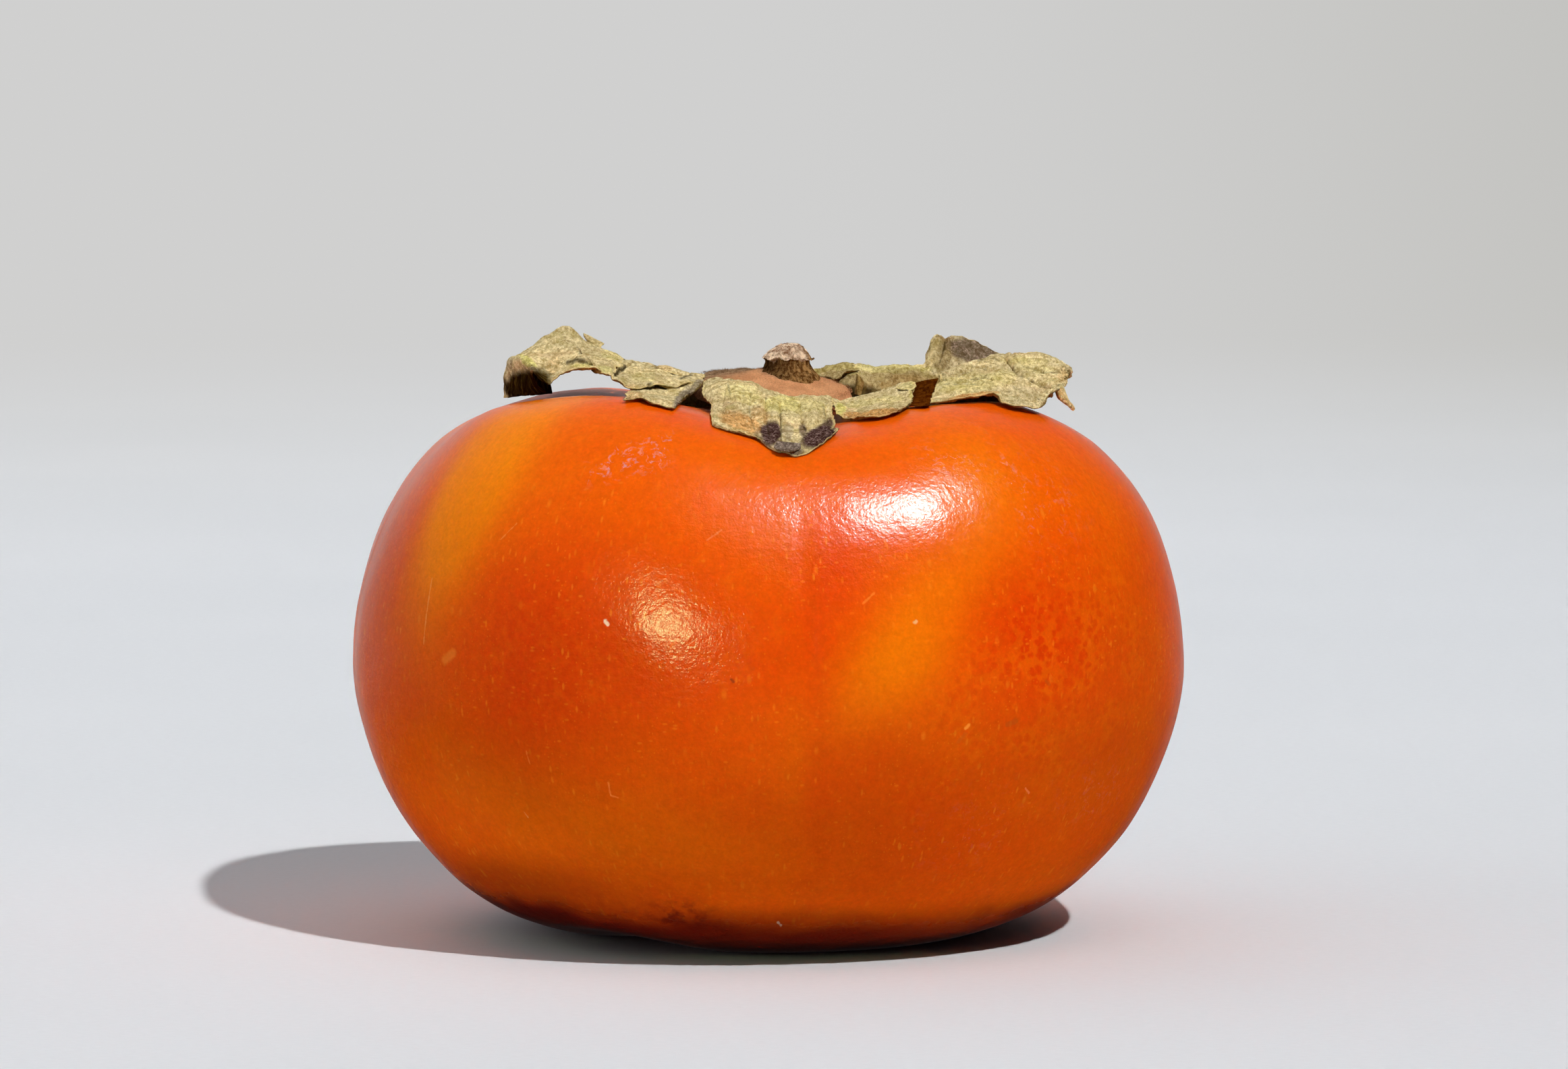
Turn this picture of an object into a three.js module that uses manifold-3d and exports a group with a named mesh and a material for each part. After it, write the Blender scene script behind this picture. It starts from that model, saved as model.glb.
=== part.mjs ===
// A ripe persimmon as picked: the fruit, its dried four-part calyx and a broken stub of stem.
// Millimetres, +Z up, -Y is the front. The origin is the centre of the base, on the surface that the fruit stands on.
import * as THREE from 'three';
import { mergeVertices } from 'three/addons/utils/BufferGeometryUtils.js';
import Module from 'manifold-3d';

// ---------------------------------------------------------------- driving dimensions

// Half section of the fruit, [radius, height], from the middle of the base to the middle of the top.
// The base is a flat ring from about 8 to 17 mm radius round a blossom-end dimple; the shoulders crest at 52 mm
// and fall into a shallow hollow that holds the calyx.
const FRUIT_PROFILE = [
  [0, 2.6], [2.2, 2.3], [4.6, 1.3], [7.2, 0.15], [9.5, -0.1], [13, -0.1], [16.5, -0.05], [19.6, 0.23], [23.3, 1.24],
  [27.45, 3.08], [31.5, 6.17], [35.35, 10.56], [38.3, 16.1], [40.2, 22.2], [40.65, 28.2], [40.1, 34.2], [38.4, 40.2],
  [35.2, 45.7], [30.9, 49.9], [25.6, 52], [20.6, 52.1], [16.2, 51.5], [12.3, 51], [9, 50.8], [5.8, 50.9], [2.8, 51],
  [0, 51.05],
];
const FRUIT_SEGMENTS = 60; // around
const FRUIT_ROWS = 40; // base to top
const FURROW_AZIMUTH = 5.8; // degrees; the four furrows lie at this and every quarter turn after it, under the sepals
const FURROW_DEPTH_TOP = 2.55; // drop of the shoulder crest where a furrow crosses it
const LOBE_EQUATOR = 0.010; // how far the section is from round, as a fraction of its radius
const LOBE_SHOULDER = 0.075;
const LOBE_BASE = 0.012;
const LEAN_X = 0.006; // the right and the back shoulders stand slightly lower
const LEAN_Y = 0.020;
const BASE_NOTCH = { azimuth: 228, width: 19, radius: 19.5, spread: 6, height: 1.25 }; // where the base ring lifts off

const GAP = 0.35; // clear space between neighbouring pieces
const SEPAL_THICKNESS = 0.7;

const DISC_CENTRE = [0.6, 0];
const DISC_RADIUS = 7.6;
const DISC_TOP = 53.9; // height at the disc's centre
const DISC_SLOPE = [-0.09, 0.115];
const DISC_DOME = 0.012; // fall of the dome, mm per mm squared
const DISC_EDGE = 1.7; // thickness at the rim

const STEM_CENTRE = [1.9, 0];
const STEM_SECTION = [[3.0, 0], [2.65, 0.5], [2.4, 1.1], [2.3, 1.8], [2.35, 2.4]]; // [radius, height above the disc]
const STEM_TOP = 56.4;

const REMNANT_SECTION = [[0, 2.1], [1.2, 2.05], [1.25, 1.8], [0.9, 1.3], [0.55, 0.9], [0.3, 0.7], [0, 0.6]];

// Control points of each sepal's middle surface, [x, y, z]. Rows run from the root at the disc to the free end.
// The front sepal folds down over the front furrow and its right-hand part stands clear as a wing.
const SEPAL_FRONT = [
  [[-6, -4.9, 53.6], [-3.4, -7, 53.9], [-0.8, -8.2, 53.3], [1.6, -8.3, 52.5], [4.3, -7.4, 52.4], [6.8, -5.6, 51.9]],
  [[-6.1, -9, 53.2], [-3.7, -11.5, 53.4], [-1, -13, 52.8], [1.6, -13.5, 52.1], [4.2, -12.6, 52.1], [6.8, -10.5, 51.6]],
  [[-5.7, -14.5, 52.6], [-3.7, -16.5, 52.4], [-1.1, -18, 51.9], [1.5, -18.8, 51.3], [4.2, -18, 51.3], [6.7, -15.5, 51.2]],
  [[-5.3, -22.4, 51.8], [-3.6, -21.9, 51.3], [-1.1, -23.1, 50.8], [1.5, -26.1, 50.1], [4, -25.8, 50.1], [6.9, -21.9, 50.8]],
  [[-5.2, -27.2, 50.9], [-3.4, -28.1, 50.4], [-1.1, -28.9, 49.8], [1.4, -30.9, 48.7], [3.2, -31.1, 48.4], [6.4, -27.5, 49.8]],
];
const SEPAL_FRONT_WING = [
  [[5.4, -7.4, 52.3], [7.3, -6.2, 51.9], [8.9, -5.2, 52.3], [10.5, -5, 52.6], [12.3, -5.2, 53], [14.2, -5.8, 53.9]],
  [[6, -12.5, 51.9], [7.5, -12.2, 51.6], [9.1, -12, 51.7], [10.8, -11.6, 52], [12.6, -10.2, 52.5], [14.3, -8.6, 53.5]],
  [[6.4, -16.8, 51.4], [7.6, -20.1, 51.1], [9.3, -21.5, 51.2], [11.3, -21.1, 51.5], [13.1, -19.5, 52.1], [14.3, -11.4, 53.2]],
];
// The left sepal arches clear of the fruit and its end curls down again; points run from its front edge to its back.
const SEPAL_LEFT = [
  [[-6.7, -3.7, 53.2], [-7, -2.4, 53.5], [-7.3, 0, 53.8], [-7.4, 3, 53.8], [-7.1, 5, 53.6], [-6.9, 6.4, 53.4]],
  [[-8.6, -18.7, 52.1], [-8.9, -9, 53], [-9.3, -3.5, 53.9], [-9.7, 1.5, 54.4], [-9.7, 6, 54], [-9.6, 9.5, 53.2]],
  [[-11.8, -19.5, 52.7], [-11.6, -9.8, 53.5], [-11.6, -3.8, 54.3], [-11.8, 2, 55], [-11.9, 7, 54.5], [-11.9, 12, 53.2]],
  [[-13.8, -19.5, 52.8], [-13.9, -10.5, 53.4], [-13.9, -4.5, 54.5], [-13.9, 2, 55.3], [-14, 7.5, 54.6], [-14, 13, 53.3]],
  [[-15.2, -11, 54.2], [-15.3, -8, 54.8], [-15.3, -3, 55.4], [-15.3, 2.5, 56.1], [-15.4, 8, 55.5], [-15.5, 13.6, 54]],
  [[-17.4, -10, 55], [-17.6, -7, 55.8], [-17.9, -2.5, 56.6], [-18.2, 2.5, 57.5], [-18.3, 7.6, 56.9], [-18.3, 13.2, 55.3]],
  [[-19.4, -10, 54.6], [-19.6, -7.5, 55.9], [-19.8, -2.5, 57.3], [-20, 2.5, 58.4], [-20, 7.2, 57.9], [-20, 12.2, 56.3]],
  [[-20.8, -11, 53.7], [-21.3, -9, 55], [-22, -5, 56.4], [-22.4, 1, 57.3], [-22.3, 6.2, 56.9], [-22.1, 10.8, 55.6]],
  [[-22.5, -9.5, 55.2], [-23.1, -8, 55.6], [-23.8, -5.5, 55.9], [-24.5, -0.5, 55.7], [-24.5, 4.5, 55.3], [-24.1, 9.2, 54.3]],
  [[-22.7, -5, 54], [-23.5, -3.5, 54.1], [-24.4, -1, 54.3], [-25.3, 3, 54.4], [-25.2, 6.5, 54.2], [-24.8, 9.2, 53.5]],
  [[-21.6, -5.5, 52.9], [-23, -3, 52.4], [-24.4, 0.5, 51.9], [-25.6, 4, 51.4], [-25.3, 7, 51.5], [-24.9, 9, 51.7]],
];
// The right sepal is a long trough, its front edge low on the shoulder, folded up where it leaves the disc.
const SEPAL_RIGHT = [
  [[8.5, -2.9, 52], [8.7, -1.2, 52.3], [8.8, 0.5, 52.6], [9, 2.2, 53.1], [9.1, 3, 53.2], [9.2, 3.6, 53.3]],
  [[13.5, -6.6, 51.7], [13.8, -5.4, 52.1], [14.1, -4, 52.7], [14.3, -2.6, 53.4], [14.4, -0.5, 53.4], [14.5, 2, 53.1]],
  [[15.2, -19.7, 52.2], [15.6, -13.2, 52.6], [16, -11, 53.3], [16.3, -8.5, 54.1], [16.5, -4, 53.9], [16.7, 1.5, 53.2]],
  [[17, -18.6, 52.4], [17.5, -12.8, 52.9], [18.1, -8, 53.8], [18.8, -2, 54.4], [19.2, 2.5, 53.9], [19.4, 6, 53]],
  [[19.3, -16.2, 52.5], [20.1, -11.5, 53.5], [21, -5.5, 54.4], [21.9, 1, 55.2], [22.2, 5, 54.8], [22.4, 8.6, 53.6]],
  [[22, -16.2, 52.2], [22.8, -11.5, 53.4], [23.6, -5.5, 54.7], [24.4, 1, 55.8], [24.7, 5.8, 55.2], [24.9, 10, 53.9]],
  [[24, -15.4, 51.8], [24.6, -11.5, 53], [25.4, -6, 54.5], [26.1, 0.5, 55.8], [26.4, 5.4, 55.2], [26.6, 10.2, 53.7]],
  [[25.9, -14.4, 51.5], [26.3, -11.5, 52.8], [27.1, -7, 54.2], [27.7, 0, 55.4], [27.9, 4.6, 54.9], [28, 9, 53.5]],
  [[26.2, -13.4, 52.1], [27.3, -10.5, 53.2], [28.4, -7, 53.9], [29, -3, 54.5], [29.1, 1.5, 54.1], [29.1, 6, 52.9]],
];
// The back sepal lies over the back furrow and its right-hand margin stands up as a wing.
const SEPAL_BACK = [
  [[6.8, 6, 53.2], [4.9, 7.5, 53.2], [2.4, 8.4, 52.6], [-0.3, 8.6, 51.9], [-2.9, 7.9, 52.1], [-5.2, 6.4, 52.9]],
  [[7.8, 7, 53.9], [6, 9.4, 54], [3, 11.1, 53], [-0.6, 11.5, 51.8], [-3.9, 10.2, 52.2], [-6.4, 7.8, 53.5]],
  [[9.1, 8.2, 53.9], [7.4, 11.8, 54.1], [3.6, 14.4, 52.2], [-1, 15.1, 51.3], [-5.2, 13.1, 52.1], [-8, 9.6, 53.4]],
  [[10.5, 9.6, 53.5], [8.9, 14.4, 53.5], [4.4, 18, 51.4], [-1.4, 19.2, 50.4], [-6.7, 16.3, 51.2], [-9.8, 11.5, 52.5]],
  [[11.9, 10.9, 52.1], [10.5, 17.1, 52.7], [5.2, 21.6, 51.5], [-1.8, 23.2, 50.2], [-8.1, 19.5, 51], [-11.5, 13.5, 52.1]],
  [[13.2, 12.2, 52.1], [11.8, 19.5, 52.5], [5.9, 24.9, 51], [-2.2, 26.9, 49.7], [-9.4, 22.4, 51.3], [-13.1, 15.2, 52.6]],
];
const SEPAL_BACK_WING = [
  [[9.6, 6.6, 52.6], [12.7, 6.8, 52.2], [15.5, 8, 51.9], [16.4, 9, 51.8], [18.7, 10.4, 51.9], [21.5, 12.2, 51.9], [24.2, 13.4, 52]],
  [[9.4, 7.6, 53.4], [12.7, 8.6, 53.1], [15.7, 11, 53.2], [16.7, 12.4, 53.8], [18.8, 14, 54], [21.4, 15, 53.9], [24, 15.6, 53.4]],
  [[9.2, 9.6, 54.4], [13.1, 11.2, 54.1], [16.2, 14.2, 54.2], [16.5, 16, 56.9], [18.9, 17, 56.8], [21.6, 17.2, 56], [23.7, 16.8, 54.6]],
];

// ---------------------------------------------------------------- the fruit's surface

const rad = (d) => (d * Math.PI) / 180;
const clamp = (v, a, b) => Math.min(b, Math.max(a, v));
const smooth = (a, b, x) => { const t = clamp((x - a) / (b - a), 0, 1); return t * t * (3 - 2 * t); };
const cr = (p0, p1, p2, p3, f) =>
  0.5 * (2 * p1 + (p2 - p0) * f + (2 * p0 - 5 * p1 + 4 * p2 - p3) * f * f + (3 * p1 - p0 - 3 * p2 + p3) * f * f * f);
const bump = (azimuth, centre, width) => {
  const d = Math.atan2(Math.sin(rad(azimuth - centre)), Math.cos(rad(azimuth - centre)));
  return Math.exp(-((d / rad(width)) ** 2));
};

// t runs 0 to 1 along the half section from base to top; phi is the azimuth in radians.
function profile(t) {
  const P = FRUIT_PROFILE, n = P.length, s = t * (n - 1), i = clamp(Math.floor(s), 0, n - 2), f = s - i;
  const at = (k) => (k < 0 ? [-P[1][0], P[1][1]] : k >= n ? [-P[n - 2][0], P[n - 2][1]] : P[k]);
  const [a, b, c, d] = [at(i - 1), at(i), at(i + 1), at(i + 2)];
  return [cr(a[0], b[0], c[0], d[0], f), cr(a[1], b[1], c[1], d[1], f)];
}
function fruitPoint(t, phi) {
  const [R, z0] = profile(t), deg = (phi * 180) / Math.PI, zz = z0 / 53;
  const furrow = ((1 + Math.cos(4 * (phi - rad(FURROW_AZIMUTH)))) / 2) ** 1.25;
  const amount = LOBE_EQUATOR + LOBE_SHOULDER * smooth(0.45, 0.97, zz) + LOBE_BASE * smooth(0.35, 0, zz);
  const w = smooth(3, 14, R), r = R * (1 + amount * w * (0.42 - furrow));
  const top = smooth(0.7, 0.98, zz), x = r * Math.cos(phi), y = r * Math.sin(phi);
  let z = z0 - top * w * smooth(40, 24, R) * FURROW_DEPTH_TOP * furrow;
  z -= smooth(0.3, 1, zz) * (LEAN_X * x + LEAN_Y * y);
  z += top * w * (0.45 * bump(deg, 231, 26) - 0.3 * bump(deg, 321, 26));
  if (zz < 0.3) {
    const N = BASE_NOTCH;
    z += N.height * bump(deg, N.azimuth, N.width) * Math.exp(-(((R - N.radius) / N.spread) ** 2));
  }
  return [x, y, Math.max(z, 0)];
}
// Height of the fruit's top at x, y.
function fruitTop(x, y) {
  const rho = Math.hypot(x, y), phi = Math.atan2(y, x);
  let lo = 0.6, hi = 1;
  for (let k = 0; k < 40; k++) {
    const m = (lo + hi) / 2, p = fruitPoint(m, phi);
    if (Math.hypot(p[0], p[1]) > rho) lo = m; else hi = m;
  }
  return fruitPoint((lo + hi) / 2, phi)[2];
}

// ---------------------------------------------------------------- helpers

function turnOutward(geometry) {
  const g = mergeVertices(bare(geometry), 1e-4), p = g.attributes.position, ix = g.index.array;
  let v = 0;
  const a = new THREE.Vector3(), b = new THREE.Vector3(), c = new THREE.Vector3(), keep = [];
  for (let i = 0; i < ix.length; i += 3) {
    if (ix[i] === ix[i + 1] || ix[i + 1] === ix[i + 2] || ix[i] === ix[i + 2]) continue;
    a.fromBufferAttribute(p, ix[i]); b.fromBufferAttribute(p, ix[i + 1]); c.fromBufferAttribute(p, ix[i + 2]);
    v += a.dot(b.cross(c));
    keep.push(ix[i], ix[i + 1], ix[i + 2]);
  }
  if (v < 0) for (let i = 0; i < keep.length; i += 3) [keep[i], keep[i + 1]] = [keep[i + 1], keep[i]];
  g.setIndex(keep);
  return g;
}
function bare(geometry) {
  const g = geometry.clone();
  g.deleteAttribute('normal'); g.deleteAttribute('uv'); g.clearGroups();
  return g;
}
// A closed lathe form whose rings are then placed by place(row, phi).
function lathe(rows, segments, place) {
  const pts = Array.from({ length: rows }, (_, j) => new THREE.Vector2(j === 0 || j === rows - 1 ? 0 : 1, j));
  const g = new THREE.LatheGeometry(pts, segments), p = g.attributes.position;
  for (let i = 0; i <= segments; i++) {
    const phi = ((i % segments) / segments) * 2 * Math.PI;
    for (let j = 0; j < rows; j++) p.setXYZ(i * rows + j, ...place(j, phi));
  }
  return turnOutward(g);
}
// Catmull-Rom surface through a net of control points.
function netPoint(net, u, v) {
  const along = (list, s) => {
    const n = list.length, q = clamp(s, 0, 1) * (n - 1), i = clamp(Math.floor(q), 0, n - 2), f = q - i;
    const ext = (k) => (k < 0 ? list[0].map((c, m) => 2 * c - list[1][m]) : k >= n ? list[n - 1].map((c, m) => 2 * c - list[n - 2][m]) : list[k]);
    const [a, b, c, d] = [ext(i - 1), ext(i), ext(i + 1), ext(i + 2)];
    return [0, 1, 2].map((m) => cr(a[m], b[m], c[m], d[m], f));
  };
  const p = along(net.map((row) => along(row, v)), u);
  p[2] = Math.max(p[2], fruitTop(p[0], p[1]) + GAP + 0.1 + SEPAL_THICKNESS / 2);
  return new THREE.Vector3(...p);
}
// A leaf of even thickness over a net: a thin box bent on to the surface, kept clear of the fruit.
function leaf(net, nu, nv, thickness = SEPAL_THICKNESS) {
  const g = new THREE.BoxGeometry(1, 1, 1, nu, nv, 1), p = g.attributes.position, e = 0.004;
  for (let k = 0; k < p.count; k++) {
    const u = p.getX(k) + 0.5, v = p.getY(k) + 0.5, w = p.getZ(k);
    const s = netPoint(net, u, v);
    const du = netPoint(net, Math.min(1, u + e), v).sub(netPoint(net, Math.max(0, u - e), v));
    const dv = netPoint(net, u, Math.min(1, v + e)).sub(netPoint(net, u, Math.max(0, v - e)));
    s.addScaledVector(du.cross(dv).normalize(), w * thickness);
    s.z = Math.max(s.z, fruitTop(s.x, s.y) + GAP + 0.05);
    p.setXYZ(k, s.x, s.y, s.z);
  }
  return turnOutward(g);
}

const wasm = await Module();
wasm.setup();
function join(a, b) {
  const solid = (g) => new wasm.Manifold(new wasm.Mesh({
    numProp: 3, vertProperties: Float32Array.from(g.attributes.position.array), triVerts: Uint32Array.from(g.index.array),
  }));
  const m = solid(a).add(solid(b)).getMesh(), g = new THREE.BufferGeometry();
  g.setAttribute('position', new THREE.BufferAttribute(Float32Array.from(m.vertProperties), 3));
  g.setIndex(Array.from(m.triVerts));
  return g;
}

// ---------------------------------------------------------------- pieces

const discTop = (x, y) => {
  const dx = x - DISC_CENTRE[0], dy = y - DISC_CENTRE[1];
  return DISC_TOP + DISC_SLOPE[0] * dx + DISC_SLOPE[1] * dy - DISC_DOME * (dx * dx + dy * dy);
};

const fruit = lathe(FRUIT_ROWS + 1, FRUIT_SEGMENTS, (j, phi) => fruitPoint(j / FRUIT_ROWS, phi));

const discRings = [[0, 1], [0.28, 1], [0.55, 1], [0.8, 1], [0.97, 1], [1, 0.55], [0.97, 0], [0.8, 0], [0.55, 0], [0.28, 0], [0, 0]];
const disc = lathe(discRings.length, 32, (j, phi) => {
  const [f, up] = discRings[j], r = f * DISC_RADIUS * (1 + 0.02 * Math.sin(4 * phi + 0.7));
  const x = DISC_CENTRE[0] + r * Math.cos(phi), y = DISC_CENTRE[1] + r * Math.sin(phi);
  const hi = discTop(x, y), low = fruitTop(x, y) + GAP, lo = Math.max(low, hi - (f > 0.7 ? DISC_EDGE : 9));
  return [x, y, lo + (hi - lo) * up];
});

const stemRings = STEM_SECTION.length;
const stem = lathe(stemRings + 4, 20, (j, phi) => {
  const rough = 1 + 0.05 * Math.sin(3 * phi + 1) + 0.04 * Math.sin(5 * phi);
  const at = (r) => [STEM_CENTRE[0] + r * Math.cos(phi), STEM_CENTRE[1] + r * Math.sin(phi)];
  if (j === 0) return [...STEM_CENTRE, discTop(...STEM_CENTRE) + GAP];
  if (j <= stemRings) {
    const [r, h] = STEM_SECTION[j - 1], [x, y] = at(r * rough);
    const low = discTop(x, y) + GAP, high = stemTop(x, y);
    return [x, y, low + (high - low) * (h / STEM_SECTION[stemRings - 1][1]) * 0.9];
  }
  const f = [0.93, 0.5, 0][j - stemRings - 1], [x, y] = at(STEM_SECTION[stemRings - 1][0] * rough * f);
  return [x, y, stemTop(x, y)];
});
// The broken end: highest a little right of its middle, low at the right.
function stemTop(x, y) {
  const dx = x - STEM_CENTRE[0];
  return STEM_TOP + 0.65 * Math.exp(-((dx - 0.5) ** 2 + y * y) / 2.2) - 0.07 * dx * Math.abs(dx) + 0.12 * Math.sin(2.1 * x + 1.3 * y);
}

const remnant = lathe(REMNANT_SECTION.length, 12, (j, phi) => {
  const [r, z] = REMNANT_SECTION[j];
  return [r * Math.cos(phi), r * Math.sin(phi), z];
});

// ---------------------------------------------------------------- the persimmon

const group = new THREE.Group();
function piece(name, geometry, color, roughness) {
  geometry.computeVertexNormals();
  const mesh = new THREE.Mesh(geometry, new THREE.MeshStandardMaterial({ color, roughness, metalness: 0 }));
  mesh.name = name;
  group.add(mesh);
}
piece('fruit', fruit, 0xd9560c, 0.3);
piece('calyx_disc', disc, 0xa8684a, 0.95);
piece('sepal_front', join(leaf(SEPAL_FRONT, 12, 14), leaf(SEPAL_FRONT_WING, 5, 12)), 0xa59a63, 0.85);
piece('sepal_left', leaf(SEPAL_LEFT, 20, 10), 0xa39766, 0.85);
piece('sepal_right', leaf(SEPAL_RIGHT, 16, 10), 0x9d935a, 0.85);
piece('sepal_back', join(leaf(SEPAL_BACK, 12, 12), leaf(SEPAL_BACK_WING, 5, 15)), 0x857a50, 0.85);
piece('stem_stub', stem, 0x5f4a30, 0.95);
piece('style_remnant', remnant, 0x241a12, 0.9);

export default group;
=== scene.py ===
# A whole persimmon with its dried calyx, standing on a pale cloth. Lengths in the tables are millimetres; Blender's are metres.
import math
import bpy
import numpy as np
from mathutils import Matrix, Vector


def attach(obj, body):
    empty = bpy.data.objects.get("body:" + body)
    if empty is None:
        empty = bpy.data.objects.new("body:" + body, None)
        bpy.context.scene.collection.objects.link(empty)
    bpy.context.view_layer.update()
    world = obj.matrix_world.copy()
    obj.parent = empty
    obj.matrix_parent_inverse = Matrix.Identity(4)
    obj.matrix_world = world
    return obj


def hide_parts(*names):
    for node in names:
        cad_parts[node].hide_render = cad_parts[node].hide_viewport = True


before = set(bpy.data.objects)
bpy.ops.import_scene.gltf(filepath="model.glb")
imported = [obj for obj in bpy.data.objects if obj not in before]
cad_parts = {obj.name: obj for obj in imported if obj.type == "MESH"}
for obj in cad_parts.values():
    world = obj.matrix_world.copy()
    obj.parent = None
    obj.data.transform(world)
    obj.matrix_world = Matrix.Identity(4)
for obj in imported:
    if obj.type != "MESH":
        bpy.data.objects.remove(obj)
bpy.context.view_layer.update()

MM = 0.001
W, H = 2324, 1585

# ------------------------------------------------------------------ camera: 700 mm off, 5.5 degrees above the horizon
CAM_EL, CAM_DIST, CAM_SCALE, CAM_SX, CAM_SY = math.radians(5.5), 700.0, 15.223, -24.0, 174.9
CAM_F = CAM_SCALE * CAM_DIST  # focal length in pixels of the 2324 wide frame
CAM_POS = np.array([0, 0, 27.0]) + CAM_DIST * np.array([0, -math.cos(CAM_EL), math.sin(CAM_EL)])
PITCH = CAM_EL - math.atan2(CAM_SY, CAM_F)
YAW = math.atan2(CAM_SX, CAM_F)
FWD = np.array([-math.sin(YAW) * math.cos(PITCH), math.cos(YAW) * math.cos(PITCH), -math.sin(PITCH)])
RIGHT = np.array([math.cos(YAW), math.sin(YAW), 0.0])
UP = np.cross(RIGHT, FWD)


def picture(P):
    """Where points in mm fall in the front picture plane, in pixels of the 2324x1585 frame."""
    V = np.asarray(P, float) - CAM_POS
    z = V @ FWD
    return W / 2 + CAM_F * (V @ RIGHT) / z, H / 2 - CAM_F * (V @ UP) / z


cam_data = bpy.data.cameras.new("camera")
cam_data.sensor_fit = "HORIZONTAL"
cam_data.sensor_width = 36.0
cam_data.lens = CAM_F / W * 36.0
cam_data.clip_start, cam_data.clip_end = 0.01, 20
camera = bpy.data.objects.new("camera", cam_data)
bpy.context.scene.collection.objects.link(camera)
camera.location = Vector(CAM_POS * MM)
camera.rotation_euler = (math.pi / 2 - PITCH, 0, YAW)
bpy.context.scene.camera = camera

# ------------------------------------------------------------------ small maths


def smooth(a, b, x):
    t = np.clip((x - a) / (b - a), 0, 1)
    return t * t * (3 - 2 * t)


_rs = np.random.RandomState(11)
_perm = np.tile(_rs.permutation(256), 3)
_grad = _rs.normal(size=(256, 3))
_grad /= np.linalg.norm(_grad, axis=1, keepdims=True)


def perlin(p):
    p = np.asarray(p, float)
    i = np.floor(p).astype(int)
    f = p - i
    u = f * f * f * (f * (f * 6 - 15) + 10)
    i &= 255
    out = np.zeros(p.shape[:-1])
    for dx in (0, 1):
        for dy in (0, 1):
            for dz in (0, 1):
                h = _perm[(_perm[(_perm[(i[..., 0] + dx) & 255] + i[..., 1] + dy) & 255] + i[..., 2] + dz) & 255]
                w = (u[..., 0] if dx else 1 - u[..., 0]) * (u[..., 1] if dy else 1 - u[..., 1]) * (u[..., 2] if dz else 1 - u[..., 2])
                out += w * (_grad[h] * (f - np.array([dx, dy, dz]))).sum(-1)
    return out * 1.6


def fbm(p, octaves=4, gain=0.5, lac=2.03):
    out, a, s = 0, 1.0, 0.0
    p = np.asarray(p, float)
    for k in range(octaves):
        out = out + a * perlin(p + 7.31 * k)
        s += a
        a *= gain
        p = p * lac
    return out / s


def ridged(p, octaves=3, gain=0.55, lac=2.1):
    out, a, s = 0, 1.0, 0.0
    p = np.asarray(p, float)
    for k in range(octaves):
        out = out + a * (1 - 2 * np.minimum(np.abs(perlin(p + 3.7 * k)) * 1.6, 1))
        s += a
        a *= gain
        p = p * lac
    return out / s


def stack(*a):
    return np.stack(np.broadcast_arrays(*a), -1)


# ------------------------------------------------------------------ the fruit's surface, as the CAD has it
FRUIT_PROFILE = np.array([
    (0, 2.6), (2.2, 2.3), (4.6, 1.3), (7.2, 0.15), (9.5, -0.1), (13, -0.1), (16.5, -0.05), (19.6, 0.23), (23.3, 1.24),
    (27.45, 3.08), (31.5, 6.17), (35.35, 10.56), (38.3, 16.1), (40.2, 22.2), (40.65, 28.2), (40.1, 34.2), (38.4, 40.2),
    (35.2, 45.7), (30.9, 49.9), (25.6, 52.0), (20.6, 52.1), (16.2, 51.5), (12.3, 51.0), (9, 50.8), (5.8, 50.9), (2.8, 51.0),
    (0, 51.05)], float)
FURROW = math.radians(5.8)


def wave(phi, centre, width):
    d = np.angle(np.exp(1j * (phi - math.radians(centre))))
    return np.exp(-(d / math.radians(width)) ** 2)


def catmull(p0, p1, p2, p3, f):
    return 0.5 * (2 * p1 + (p2 - p0) * f + (2 * p0 - 5 * p1 + 4 * p2 - p3) * f * f + (3 * p1 - p0 - 3 * p2 + p3) * f ** 3)


def profile(t):
    n = len(FRUIT_PROFILE)
    Q = np.vstack([[-FRUIT_PROFILE[1][0], FRUIT_PROFILE[1][1]], FRUIT_PROFILE, [-FRUIT_PROFILE[-2][0], FRUIT_PROFILE[-2][1]]])
    s = np.asarray(t, float) * (n - 1)
    i = np.clip(np.floor(s).astype(int), 0, n - 2)
    f = (s - i)[..., None]
    return catmull(Q[i], Q[i + 1], Q[i + 2], Q[i + 3], f)


def fruit_point(t, phi):
    q = profile(t)
    R, z0 = q[..., 0], q[..., 1]
    zz = z0 / 53
    furrow = ((1 + np.cos(4 * (phi - FURROW))) / 2) ** 1.25
    amount = 0.010 + 0.075 * smooth(0.45, 0.97, zz) + 0.012 * smooth(0.35, 0.0, zz)
    w = smooth(3, 14, R)
    r = R * (1 + amount * w * (0.42 - furrow))
    top = smooth(0.7, 0.98, zz)
    x, y = r * np.cos(phi), r * np.sin(phi)
    z = z0 - top * w * smooth(40, 24, R) * 2.55 * furrow
    z = z - smooth(0.3, 1, zz) * (0.006 * x + 0.020 * y)
    z = z + top * w * (0.45 * wave(phi, 231, 26) - 0.3 * wave(phi, 321, 26))
    z = z + top * w * (1.35 * wave(phi, 198, 17) * np.exp(-((R - 28.5) / 5.5) ** 2) - 0.55 * wave(phi, 152, 20) * np.exp(-((R - 28) / 6) ** 2) + 0.35 * wave(phi, 335, 16) * np.exp(-((R - 24) / 6) ** 2))
    z = z + np.where(zz < 0.3, 1.25 * wave(phi, 228, 19) * np.exp(-((R - 19.5) / 6) ** 2), 0)
    return stack(x, y, np.maximum(z, 0))


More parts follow.
